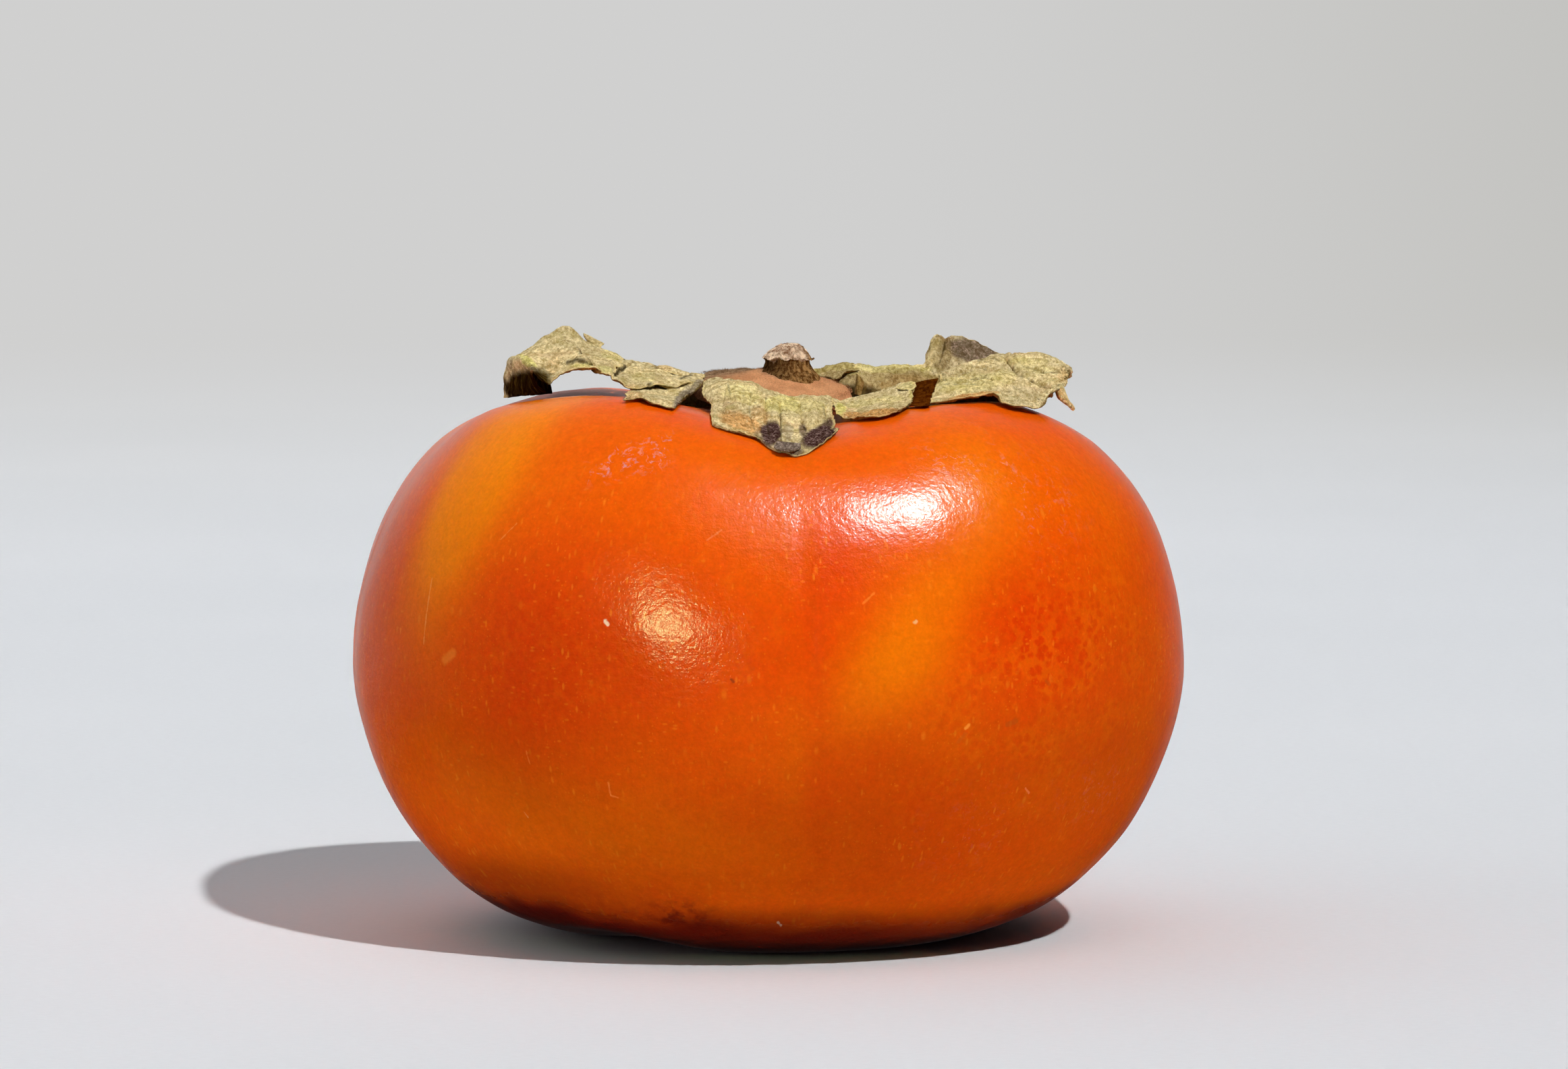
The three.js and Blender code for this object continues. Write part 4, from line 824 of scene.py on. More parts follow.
# ------------------------------------------------------------------ dried sepals
def sepal_material(name, shift=0.0):
    m = Mat(name)
    p = m.p
    edge, under, dark, tan, green, grey, deep_shade, warm = (m.attr(k) for k in ATTRS)
    fib = m.attr("fib", vector=True)
    fibre = m.noise(scale=1.0, at=m.stretch(fib, 0.8, 4.2, 1.0), detail=4.0, rough=0.7, distortion=0.5)
    grain = m.noise(scale=1.0, at=m.stretch(m.co, 2300, 1050, 2000), detail=5.0, rough=0.80)
    fine = m.noise(scale=1.0, at=m.stretch(m.co, 5600, 2600, 5000), detail=2.0, rough=0.6)
    tone = m.math("ADD", m.math("MULTIPLY", grain, 0.72), m.math("ADD", m.math("MULTIPLY", fibre, 0.10), m.math("MULTIPLY", m.noise(1.3, 4.0, 0.6), 0.18)))
    col = m.mix(m.ramp(tone, 0.36, 0.64), srgb(172, 144, 84), srgb(255, 238, 186))
    patchy = m.noise(2.4, 4.0, 0.6)
    col = m.mix(m.math("MULTIPLY", m.ramp(patchy, 0.50, 0.68), 0.50), col, srgb(176, 158, 86))
    col = m.mix(m.math("MULTIPLY", m.ramp(m.noise(3.4, 3.0, 0.6, at=m.vec("ADD", m.co, (0.11, 0.23, 0.05))), 0.54, 0.70), 0.40), col, srgb(200, 160, 112))
    gtone = m.mix(m.ramp(tone, 0.37, 0.64), srgb(168, 156, 60), srgb(248, 240, 146))
    col = m.mix(m.math("MULTIPLY", green, 0.8), col, gtone)
    ttone = m.mix(m.ramp(tone, 0.37, 0.64), srgb(158, 98, 38), srgb(240, 182, 108))
    col = m.mix(tan, col, ttone)
    # net of small veins
    cell = m.voronoi(None, at=fib, scale=1.7, feature="DISTANCE_TO_EDGE", out="Distance")
    vein = m.ramp(m.math("ADD", cell, m.math("MULTIPLY", m.math("SUBTRACT", grain, 0.5), 0.30)), 0.10, 0.0)
    col = m.mix(m.math("MULTIPLY", vein, 0.22), col, srgb(140, 112, 64))
    # dark and pale specks
    speck = m.ramp(m.noise(0.36, 3.0, 0.6, at=m.vec("ADD", m.co, (0.5, 0.2, 0.7))), 0.60, 0.68)
    col = m.mix(m.math("MULTIPLY", speck, 0.50), col, srgb(98, 76, 40))
    light = m.ramp(m.noise(0.30, 2.0, 0.5, at=m.vec("ADD", m.co, (0.3, 0.1, 0.2))), 0.62, 0.70)
    col = m.mix(m.math("MULTIPLY", light, 0.55), col, srgb(255, 244, 200))
    # painted light and shade of folds: brightness up and down by a tenth over 4.5 mm patches
    fold_shading = m.ramp(m.noise(4.5, 3.0, 0.55, at=m.vec("ADD", m.co, (0.7, 0.4, 0.2))), 0.40, 0.62, 0.90, 1.10)
    col = m.bright(col, fold_shading)
    # purple-black dead areas with pale veins, bluish grey bloom
    dead = m.math("ADD", m.math("MULTIPLY", grain, 0.5), m.math("MULTIPLY", m.noise(0.24, 3.0, 0.8), 0.5))
    dcol = m.mix(m.ramp(dead, 0.46, 0.70), srgb(54, 31, 29), srgb(180, 148, 138))
    dcol = m.mix(m.math("MULTIPLY", vein, 0.10), dcol, srgb(170, 140, 110))
    col = m.mix(dark, col, dcol)
    gcol = m.mix(m.ramp(dead, 0.42, 0.66), srgb(92, 78, 72), srgb(196, 180, 164))
    col = m.mix(grey, col, gcol)
    # underside colour, darker than the top: partly its own colour, partly painted shade; the same colour is also
    # painted as shade on top faces given under spots
    ucol = m.mix(m.ramp(tone, 0.38, 0.62), srgb(88, 64, 22), srgb(152, 124, 62))
    col = m.mix(m.math("MULTIPLY", under, 0.85), col, ucol)
    # painted deep shade: dark brown for the inside of the curled tip, the far curl, the back band, under the left root
    # and in cracks
    pcol = m.mix(m.ramp(m.noise(scale=1.0, at=m.stretch(fib, 0.35, 1.6, 1.0), detail=3.0), 0.45, 0.68), srgb(34, 20, 4), srgb(80, 62, 24))
    col = m.mix(deep_shade, col, pcol)
    # dark reddish brown for the folded root and curled-under margin of the right sepal: partly the underside's own
    # colour, partly painted shade
    wcol = m.mix(m.ramp(tone, 0.38, 0.64), srgb(58, 20, 1), srgb(112, 58, 12))
    col = m.mix(warm, col, wcol)
    # pale torn rim
    rim = m.ramp(m.math("ADD", edge, m.math("MULTIPLY", m.math("SUBTRACT", m.noise(0.5, 3.0), 0.5), 0.5)), 0.34, 0.05)
    rim = m.math("MULTIPLY", rim, m.math("SUBTRACT", 1.0, m.math("MAXIMUM", under, m.math("MAXIMUM", deep_shade, warm))), clamp=True)
    col = m.mix(m.math("MULTIPLY", rim, 0.62), col, srgb(246, 222, 152))
    if shift:
        col = m.bright(col, 1.0 + shift)
    m.put(p.inputs["Base Color"], col)
    p.inputs["Roughness"].default_value = 0.72
    p.inputs["Specular IOR Level"].default_value = 0.0
    h = m.math("MULTIPLY", grain, 0.13)
    h = m.math("ADD", h, m.math("MULTIPLY", fibre, 0.03))
    h = m.math("ADD", h, m.math("MULTIPLY", m.noise(2.6, 2.0, 0.5), 0.30))
    h = m.math("ADD", h, m.math("MULTIPLY", fine, 0.035))
    h = m.math("ADD", h, m.math("MULTIPLY", m.noise(1.1, 4.0, 0.65), 0.10))
    h = m.math("SUBTRACT", h, m.math("MULTIPLY", vein, 0.02))
    m.put(p.inputs["Normal"], m.bump(h, 1.0))
    return m.m


def build_left(mat):
    s = Sheets()
    # the inner face of the curled tip is painted as deep shade, and its cracks are darkened as shade
    s.add("ARCH", 174, 120, seed=3, crumple=0.22, pleat=0.05, jag=(0.5, 0.5, 0.30, 0.5), curl=0.14, flip=True, root=1,
          grooves=[([(846, 496), (852, 510), (858, 520)], -0.10, 2.5), ([(800, 515), (822, 530), (840, 540)], -0.08, 3.0)],
          steps=[([(855, 517), (861, 530), (870, 538), (882, 547)], 0.34, 1.5, 9), ([(838, 541), (857, 539), (870, 542)], -0.26, 1.4, 7), ([(822, 510), (838, 520), (850, 518)], 0.14, 2.5, 9)],
          cracks=[([(855, 518), (861, 530), (870, 538), (882, 547)], 1.7, 1.0), ([(842, 540), (857, 539), (870, 542)], 1.4, 0.9)],
          spots=[("green", 784, 538, 14, 4, 35, 0.9), ("green", 868, 545, 18, 3, 4, 0.6), ("green", 893, 549, 14, 5, 20, 0.6), ("green", 905, 530, 16, 8, 20, 0.35),
                 ("tan", 820, 545, 10, 14, 20, 0.20), ("deep_shade", 784, 574, 36, 27, 0, 1.0), ("grey", 757, 541, 6, 9, 30, 0.25)])
    # far half of the curled tip, painted dark all over as deep shade
    s.add("CURL_BACK", pale_edge=False, nu=50, nv=50, seed=61, crumple=0.12, thick=0.26, jag=(0, 0.1, 0.1, 0.1), flip=True, root=1, spots=[("deep_shade", 790, 566, 90, 70, 0, 1.0)])
    # sheet under the left sepal's root that closes the gap there, painted dark as underside and shade
    s.add("ROOT_LEFT", pale_edge=False, nu=30, nv=50, seed=67, crumple=0.05, thick=0.26, jag=(0, 0.1, 0.1, 0.1), flip=True, root=1, floor=0.05, spots=[("under", 1030, 590, 90, 70, 0, 1.0), ("deep_shade", 1030, 590, 90, 70, 0, 0.35)])
    s.add("TORN", 60, 22, seed=5, crumple=0.06, jag=(0.15, 0.2, 0.1, 0.15), thick=0.26, root=1,
          spots=[("tan", 880, 509, 30, 5, 30, 0.0)])
    s.add("MID_UPPER", 124, 88, seed=7, crumple=0.24, pleat=0.05, jag=(0, 0.3, 0.42, 0.4), curl=0.14, flip=False,
          steps=[([(906, 560), (916, 552), (926, 546)], -0.30, 1.6, 9), ([(972, 571), (990, 566), (1010, 564), (1022, 561)], 0.24, 1.5, 9)],
          cracks=[([(908, 558), (916, 551), (926, 547)], 1.7, 0.95), ([(971, 547), (985, 552), (1003, 556), (1019, 559)], 2.4, 0.9), ([(1008, 568), (1016, 564), (1024, 562)], 1.6, 0.8), ([(960, 577), (966, 574)], 1.6, 0.7)],
          spots=[("green", 952, 562, 20, 8, 0, 0.25), ("tan", 935, 576, 14, 4, 0, 0.25)])
    s.add("LIP", 70, 22, seed=9, crumple=0.05, thick=0.28, jag=(0.1, 0.1, 0.1, 0.15), flip=False, root=1,
          spots=[("tan", 985, 547, 14, 5, 0, 0.25)])
    s.add("MID_LOWER", 130, 60, seed=13, crumple=0.22, pleat=0.05, jag=(0.35, 0.2, 0.45, 0.0), curl=0.20, flip=False, root=1,
          steps=[([(930, 588), (950, 586), (968, 592), (985, 594)], 0.16, 1.6, 7)],
          cracks=[([(1000, 606), (1012, 592), (1026, 578)], 1.5, 0.5)],
          spots=[("grey", 1012, 594, 20, 10, -52, 0.75), ("grey", 1030, 577, 14, 6, -45, 0.6), ("tan", 936, 590, 16, 5, 0, 0.35)])
    return s.build("sepal_left_leaf", mat)


def build_front(mat):
    s = Sheets()
    s.add("FRONT", 164, 172, seed=17, crumple=0.26, pleat=0.06, pleat_size=(7.0, 1.5), jag=(0, 0.40, 0.26, 0.35), curl=0.10, flip=False,
          grooves=[([(1112, 592), (1110, 612), (1118, 640)], -0.16, 3.6), ([(1134, 600), (1136, 625), (1140, 655)], -0.30, 3.2), ([(1149, 604), (1149, 625), (1151, 650)], 0.36, 4.2),
                   ([(1186, 600), (1188, 622), (1194, 642)], -0.48, 2.6), ([(1206, 604), (1206, 630)], 0.24, 4.0), ([(1222, 602), (1226, 628)], -0.26, 2.6),
                   ([(1076, 575), (1072, 605), (1074, 632)], -0.20, 3.2), ([(1094, 572), (1093, 600), (1096, 640)], 0.16, 4.0)],
          steps=[([(1158, 614), (1159, 632), (1158, 662)], -0.30, 1.8, 9)],
          cracks=[([(1112, 584), (1110, 612), (1118, 640)], 1.4, 0.45), ([(1134, 592), (1136, 620), (1140, 652)], 1.4, 0.55), ([(1158, 616), (1159, 632), (1158, 660)], 1.6, 0.7), ([(1186, 602), (1188, 622), (1194, 640)], 2.0, 0.75), ([(1080, 574), (1084, 590)], 1.2, 0.5), ([(1218, 604), (1222, 622)], 1.3, 0.5)],
          spots=[("green", 1160, 602, 30, 14, 0, 0.65), ("green", 1200, 604, 26, 12, 0, 0.35), ("green", 1100, 588, 30, 14, 10, 0.35),
                 ("tan", 1100, 630, 36, 13, 18, 0.80), ("tan", 1128, 618, 14, 12, 30, 0.45), ("tan", 1240, 626, 10, 14, 0, 0.5),
                 ("dark", 1142, 646, 16, 19, -20, 1.0), ("dark", 1128, 650, 10, 12, -20, 0.45), ("dark", 1216, 650, 30, 16, -24, 1.0), ("dark", 1232, 636, 16, 12, -10, 0.9), ("dark", 1190, 640, 6, 14, 0, 0.75), ("dark", 1168, 672, 24, 7, 0, 0.8),
                 ("grey", 1168, 645, 8, 14, 0, 0.40)])
    s.add("FRONT_LIP", 40, 60, seed=19, crumple=0.05, thick=0.26, jag=(0.1, 0.2, 0.15, 0.2), curl=0.10, flip=False, floor=0.62, root=1, pale_edge=False,
          spots=[("dark", 1168, 664, 60, 30, 0, 0.9), ("grey", 1160, 662, 60, 6, 0, 0.55)])
    s.add("WING", 84, 150, seed=23, crumple=0.20, pleat=0.10, pleat_size=(2.0, 3.0), jag=(0.1, 0.35, 0.25, 1.0), curl=0.18, cross=True, flip=False, root=1,
          spots=[("tan", 1290, 617, 46, 5, -4, 0.90), ("green", 1290, 600, 50, 6, -8, 0.30), ("green", 1356, 580, 6, 18, 0, 0.8), ("green", 1244, 610, 9, 10, 0, 1.0)])
    s.add("WING_FLAP", 34, 66, seed=29, crumple=0.10, thick=0.24, jag=(0.25, 0.3, 0.3, 0.5), curl=0.14, cross=True, flip=False, root=1,
          spots=[("green", 1345, 573, 22, 8, 0, 0.35)])
    return s.build("sepal_front_leaf", mat)


def build_right(mat):
    s = Sheets()
    s.add("RIGHT", 220, 128, seed=31, crumple=0.20, pleat=0.20, pleat_size=(7.0, 1.5), jag=(0.1, 0.4, 0.30, 0.45), curl=0.12, flip=False, root=1,
          cracks=[([(1490, 533), (1497, 541), (1506, 552), (1528, 566), (1552, 576)], 1.9, 0.85), ([(1500, 531), (1518, 543), (1548, 553), (1572, 553)], 1.4, 0.6), ([(1420, 556), (1440, 549), (1462, 548)], 1.3, 0.7),
                  ([(1432, 563), (1460, 560), (1480, 566)], 1.3, 0.6), ([(1450, 540), (1468, 536), (1482, 538)], 1.2, 0.5), ([(1398, 572), (1430, 571), (1452, 573)], 1.2, 0.4)],
          grooves=[([(1490, 533), (1497, 541), (1506, 552), (1528, 566), (1556, 577)], -0.75, 3.0), ([(1500, 531), (1518, 543), (1548, 553), (1574, 553)], -0.40, 2.4),
                   ([(1420, 556), (1440, 549), (1462, 548)], -0.40, 2.2), ([(1432, 563), (1460, 560), (1480, 566)], -0.34, 2.2), ([(1398, 572), (1430, 571), (1456, 572)], -0.28, 2.4),
                   ([(1512, 556), (1532, 566), (1550, 572)], 0.16, 3.0), ([(1484, 598), (1486, 578), (1500, 570)], -0.12, 3.0)],
          spots=[("green", 1440, 570, 60, 16, -8, 0.35), ("green", 1530, 545, 30, 10, 15, 0.25), ("grey", 1515, 592, 30, 16, 5, 0.12), ("tan", 1438, 592, 40, 3.5, -9, 0.85), ("tan", 1575, 560, 8, 10, 0, 0.3)])
    # curled-under margin of the right sepal, painted dark brown as underside and shade
    s.add("RIGHT_UNDER", pale_edge=False, nu=26, nv=80, seed=71, crumple=0.05, thick=0.24, jag=(0, 0.1, 0.1, 0.1), flip=True, root=1, floor=0.05, spots=[("warm", 1430, 594, 120, 40, 0, 1.0)])
    # folded-up root of the right sepal, its face painted dark brown as underside and shade
    s.add("FOLD", pale_edge=False, nu=56, nv=56, seed=37, crumple=0.07, thick=0.30, jag=(0.1, 0.1, 0.1, 0.15), flip=True, root=1, spots=[("warm", 1368, 583, 40, 40, 0, 1.0)])
    s.add("TAIL", 80, 26, seed=41, crumple=0.05, thick=0.42, jag=(0, 0.1, 0.15, 0.15), flip=False, root=0, spots=[("tan", 1580, 592, 30, 22, 0, 0.45)])
    return s.build("sepal_right_leaf", mat)


def build_back(mat):
    s = Sheets()
    # the back sepal's top face is partly painted with underside colour as shade
    s.add("BACK", 90, 118, seed=43, crumple=0.26, pleat=0.18, pleat_size=(8.0, 1.8), jag=(0, 0.5, 0.4, 0.4), curl=0.15, flip=False,
          spots=[("under", 1250, 560, 160, 34, 0, 0.62), ("green", 1230, 545, 70, 7, 0, 0.55)])
    # the wing's lower part and fold are painted with underside colour as shade; the purple-brown patches are its own
    # colour
    s.add("BACK_WING", 112, 176, seed=47, crumple=0.24, pleat=0.10, pleat_size=(7.0, 1.4), jag=(0, 0.28, 0.2, 0.3), curl=0.10, flip=True,
          cracks=[([(1401, 508), (1399, 522), (1393, 538)], 2.0, 0.7)],
          grooves=[([(1400, 505), (1398, 520), (1392, 540)], -0.35, 4.0)],
          spots=[("under", 1330, 572, 76, 22, 0, 0.75), ("green", 1300, 549, 90, 6, 0, 0.55), ("tan", 1320, 570, 80, 12, 0, 0.35), ("dark", 1440, 522, 44, 20, 14, 0.82), ("dark", 1428, 540, 40, 12, 10, 0.35), ("dark", 1396, 545, 20, 9, -30, 0.40), ("dark", 1262, 572, 14, 12, 0, 0.9), ("under", 1396, 525, 14, 30, 0, 0.5), ("tan", 1400, 503, 14, 5, 0, 0.3)])
    s.add("BACK_FLAP", 30, 60, seed=53, crumple=0.05, thick=0.28, jag=(0.1, 0.15, 0.1, 0.2), cross=True, flip=True, root=1, spots=[("tan", 1276, 575, 6, 20, 0, 0.5)])
    # band from the back sepal's inner edge down to the fruit, closing the gap under it, painted as deep shade and
    # underside
    s.add("BAND", pale_edge=False, nu=50, nv=90, seed=59, crumple=0.16, thick=0.28, jag=(0, 0.2, 0.1, 0.1), floor=0.08, flip=True,
          spots=[("deep_shade", 1258, 594, 60, 22, 0, 0.9), ("under", 1250, 570, 90, 50, 0, 0.7), ("green", 1240, 550, 50, 8, 0, 0.6)])
    return s.build("sepal_back_leaf", mat)


# ------------------------------------------------------------------ disc, stem, style
DISC_C, DISC_R, DISC_TOP, DISC_SLOPE, DISC_DOME = (0.6, 0.0), 7.6, 53.9, (-0.09, 0.115), 0.012


def disc_height(x, y):
    dx, dy = x - DISC_C[0], y - DISC_C[1]
    return DISC_TOP + DISC_SLOPE[0] * dx + DISC_SLOPE[1] * dy - DISC_DOME * (dx * dx + dy * dy)


def felt_material():
    m = Mat("calyx_felt")
    p = m.p
    col = m.mix(m.ramp(m.noise(2.4, 3.0), 0.35, 0.65), srgb(208, 146, 100), srgb(228, 166, 118))
    col = m.mix(m.attr("brown"), col, m.mix(m.ramp(m.noise(0.5, 3.0, 0.7), 0.4, 0.62), srgb(112, 84, 60), srgb(176, 146, 112)))
    grain = m.noise(0.16, 3.0, 0.7)
    col = m.bright(col, m.ramp(grain, 0.25, 0.75, 0.72, 1.26, soft=False))
    col = m.mix(m.math("MULTIPLY", m.ramp(m.noise(0.22, 2.0), 0.64, 0.72), 0.5), col, srgb(120, 76, 46))
    m.put(p.inputs["Base Color"], col)
    p.inputs["Roughness"].default_value = 0.9
    p.inputs["Specular IOR Level"].default_value = 0.0
    p.inputs["Sheen Weight"].default_value = 0.04
    p.inputs["Sheen Roughness"].default_value = 0.5
    p.inputs["Sheen Tint"].default_value = (0.95, 0.75, 0.58, 1)
    m.put(p.inputs["Normal"], m.bump(m.math("ADD", m.math("MULTIPLY", grain, 0.10), m.math("MULTIPLY", m.noise(0.6, 3.0), 0.12)), 1.0))
    return m.m


def build_disc():
    rows, around = 70, 240
    f = np.concatenate([np.linspace(0, 1, 44) ** 0.8, np.linspace(1, 0, 26)])
    up = np.concatenate([np.ones(40), [0.95, 0.85, 0.66, 0.4], np.zeros(26)])
    PH = np.linspace(0, 2 * math.pi, around, endpoint=False)
    Fm, PHm = np.meshgrid(f, PH, indexing="ij")
    Um = np.repeat(up[:, None], around, 1)
    r = Fm * DISC_R * (1 + 0.02 * np.sin(4 * PHm + 0.7) + 0.025 * fbm(stack(np.cos(PHm) * 4, np.sin(PHm) * 4, 2.0), 3))
    x, y = DISC_C[0] + r * np.cos(PHm), DISC_C[1] + r * np.sin(PHm)
    hi = disc_height(x, y)
    hi = hi + 0.16 * fbm(stack(x / 1.6, y / 1.6, 1.0), 4) + 0.05 * fbm(stack(x / 0.5, y / 0.5, 7.0), 2)
    # swelling that climbs to the stalk
    ds = np.hypot(x - 1.9, y)
    hi = hi + 0.55 * np.exp(-((ds - 2.4) / 1.3) ** 2) + 0.2 * np.exp(-(ds / 3.4) ** 2)
    low = fruit_top(x, y) + 0.2
    lo = np.maximum(low, hi - np.where(Fm > 0.7, 1.7, 9.0))
    z = lo + (hi - lo) * Um
    P = stack(x, y, z)
    P = P[::-1]  # rows from underneath to the top
    V, F = lathe(P)
    X = P[..., 0] - DISC_C[0]
    brown = smooth(0.5, 6.5, P[..., 1] - 0.9 * X) * 0.95 + 0.6 * smooth(1.2, 0.2, np.hypot(P[..., 0] - 1.9, P[..., 1]) - 2.2)
    attrs = {"brown": ring_attr(np.clip(brown, 0, 1))}
    # short felt hairs
    rs = np.random.RandomState(5)
    n = 7000
    a, q = rs.uniform(0, 2 * math.pi, n), np.sqrt(rs.uniform(0.02, 1.0, n)) * DISC_R
    hx, hy = DISC_C[0] + q * np.cos(a), DISC_C[1] + q * np.sin(a)
    keep = np.hypot(hx - 1.9, hy) > 2.2
    hx, hy = hx[keep], hy[keep]
    n = len(hx)
    ds = np.hypot(hx - 1.9, hy)
    hz = disc_height(hx, hy) + 0.16 * fbm(stack(hx / 1.6, hy / 1.6, 1.0), 4) + 0.05 * fbm(stack(hx / 0.5, hy / 0.5, 7.0), 2) + 0.55 * np.exp(-((ds - 2.4) / 1.3) ** 2) + 0.2 * np.exp(-(ds / 3.4) ** 2)
    base = stack(hx, hy, hz - 0.05)
    lean = np.stack([rs.normal(0, 0.5, n), rs.normal(0, 0.5, n), np.ones(n)], -1)
    lean = unit(lean) * rs.uniform(0.10, 0.26, n)[:, None]
    t0 = rs.uniform(0, 2 * math.pi, n)
    w = 0.02
    c = [base + w * stack(np.cos(t0 + k * 2.0944), np.sin(t0 + k * 2.0944), 0 * t0) for k in range(3)]
    HV = np.stack([c[0], c[1], c[2], base + lean], 1).reshape(-1, 3)
    i = np.arange(n)[:, None] * 4 + len(V)
    HF = np.concatenate([i + [0, 1, 3], i + [1, 2, 3], i + [2, 0, 3], i + [0, 2, 1]])
    V = np.concatenate([V, HV])
    F = F + [HF]
    hb = smooth(0.5, 6.5, hy - 0.9 * (hx - DISC_C[0])) * 0.95
    attrs["brown"] = np.concatenate([attrs["brown"], np.repeat(np.clip(hb, 0, 1), 4)])
    return add_mesh("calyx_disc_felt", V, F, attrs, felt_material())


def stem_material():
    m = Mat("stem_stub_wood")
    p = m.p
    top = m.attr("top")
    streak = m.noise(scale=1.0, at=m.stretch(m.co, 2600, 2600, 700), detail=4.0, rough=0.65)
    side = m.mix(m.ramp(streak, 0.40, 0.66), srgb(72, 42, 16), srgb(150, 112, 66))
    side = m.mix(m.math("MULTIPLY", m.ramp(m.noise(0.24, 3.0, 0.7), 0.52, 0.66), 0.6), side, srgb(158, 126, 80))
    # painted shade: the stalk's side darker on its left and lighter on its right
    across = m.node("ShaderNodeSeparateXYZ")
    m.put(across.inputs[0], m.co)
    side = m.bright(side, m.ramp(across.outputs[0], -0.0006, 0.0036, 0.38, 1.45))
    face = m.mix(m.ramp(m.noise(0.85, 5.0, 0.75), 0.38, 0.62), srgb(142, 100, 70), srgb(255, 228, 196))
    col = m.mix(top, side, face)
    col = m.bright(col, m.ramp(m.noise(0.15, 3.0, 0.7), 0.25, 0.75, 0.75, 1.22, soft=False))
    m.put(p.inputs["Base Color"], col)
    p.inputs["Roughness"].default_value = 0.85
    p.inputs["Specular IOR Level"].default_value = 0.0
    h = m.math("ADD", m.math("MULTIPLY", streak, 0.14), m.math("MULTIPLY", m.noise(0.22, 4.0, 0.7), 0.14))
    m.put(p.inputs["Normal"], m.bump(h, 1.0))
    return m.m


def build_stem():
    around = 200
    # side profile: (radius, height above the disc)
    prof = np.array([(0, -0.6), (2.7, -0.55), (3.45, -0.25), (3.05, 0.20), (2.62, 0.60), (2.32, 1.0), (2.14, 1.4), (2.14, 1.75), (2.22, 2.0), (2.20, 2.2), (2.0, 2.4), (1.6, 2.45), (0.9, 2.45), (0, 2.45)])
    d = np.concatenate([[0], np.cumsum(np.linalg.norm(np.diff(prof, axis=0), axis=1))])
    s = np.linspace(0, d[-1], 110)
    R, Hh = np.interp(s, d, prof[:, 0]), np.interp(s, d, prof[:, 1])
    PH = np.linspace(0, 2 * math.pi, around, endpoint=False)
    Rm, PHm = np.meshgrid(R, PH, indexing="ij")
    Hm = np.repeat(Hh[:, None], around, 1)
    cx, cy = np.cos(PHm), np.sin(PHm)
    side = smooth(0.0, 0.6, Hm) * smooth(2.4, 2.1, Hm)
    fib = ridged(stack(cx * 5, cy * 5, Hm * 0.5), 3)
    rr = Rm * (1 + 0.05 * fbm(stack(cx * 1.3, cy * 1.3, Hm / 2), 2) + 0.045 * side * fib)
    rr = rr + 0.10 * fbm(stack(cx * 3, cy * 3, Hm / 0.6), 3) * smooth(0, 1.5, Rm)
    rr = rr + smooth(1.7, 2.2, Hm) * smooth(1.2, 2.2, Rm) * (0.42 * np.exp(-((PHm - 6.1) / 0.26) ** 2) + 0.22 * np.exp(-((PHm - 3.5) / 0.7) ** 2) + 0.34 * fbm(stack(cx * 2.2, cy * 2.2, 8.0), 3))
    x, y = 1.9 + rr * cx, rr * cy
    crown = smooth(1.75, 2.4, Hm)
    rough = 0.56 * fbm(stack(x / 1.1, y / 1.1, 3.0), 4) + 0.20 * ridged(stack(x / 0.5, y / 0.5, 1.0), 3)
    peak = 0.85 * np.exp(-((((x - 2.2) / 1.9) ** 2 + ((y - 0.3) / 1.9) ** 2) ** 2.2)) + 0.30 * fbm(stack(cx * 1.6, cy * 1.6, 5.0), 2) * smooth(0.8, 2.2, Rm) - 0.15 * smooth(0.4, -0.6, x) - 0.55 * smooth(2.9, 4.3, x) - 0.25 * smooth(-0.8, -2.2, y)
    base = disc_height(1.9, 0.0)
    z = base + Hm + crown * (rough + peak - 0.12)
    z = z - smooth(0.5, -0.1, Hm) * 0.10 * (Rm / 3) ** 2
    z = np.minimum(z, 58.62)
    P = stack(x, y, z)
    V, F = lathe(P)
    top = np.clip(smooth(1.85, 2.25, Hm + 1.5 * fbm(stack(cx * 2.2, cy * 2.2, Hm), 4) + 0.25 * smooth(0.5, -1.5, x)), 0, 1)
    return add_mesh("stem_stub_bark", V, F, {"top": ring_attr(top)}, stem_material())


def build_style():
    m = Mat("dried_style")
    col = m.mix(m.ramp(m.noise(0.3, 3.0, 0.7), 0.4, 0.65), srgb(34, 22, 14), srgb(96, 66, 40))
    m.put(m.p.inputs["Base Color"], col)
    m.p.inputs["Roughness"].default_value = 0.8
    m.p.inputs["Specular IOR Level"].default_value = 0.05
    m.put(m.p.inputs["Normal"], m.bump(m.noise(0.15, 3.0, 0.7), 0.12))
    prof = np.array([(0, 0.6), (0.3, 0.68), (0.55, 0.9), (0.9, 1.3), (1.2, 1.75), (1.22, 1.95), (0.9, 2.08), (0, 2.1)])
    d = np.concatenate([[0], np.cumsum(np.linalg.norm(np.diff(prof, axis=0), axis=1))])
    s = np.linspace(0, d[-1], 50)
    R, Z = np.interp(s, d, prof[:, 0]), np.interp(s, d, prof[:, 1])
    PH = np.linspace(0, 2 * math.pi, 96, endpoint=False)
    Rm, PHm = np.meshgrid(R, PH, indexing="ij")
    Zm = np.repeat(Z[:, None], 96, 1)
    rr = Rm * (1 + 0.10 * np.abs(np.cos(4 * PHm / 2)) - 0.06 + 0.10 * fbm(stack(np.cos(PHm) * 3, np.sin(PHm) * 3, Zm / 0.4), 3))
    zz = Zm + 0.06 * fbm(stack(rr * np.cos(PHm) / 0.4, rr * np.sin(PHm) / 0.4, 2.0), 3) * smooth(0, 0.5, Rm)
    V, F = lathe(stack(rr * np.cos(PHm), rr * np.sin(PHm), np.clip(zz, 0.55, 2.14)))
    return add_mesh("style_remnant_dry", V, F, {}, m.m)


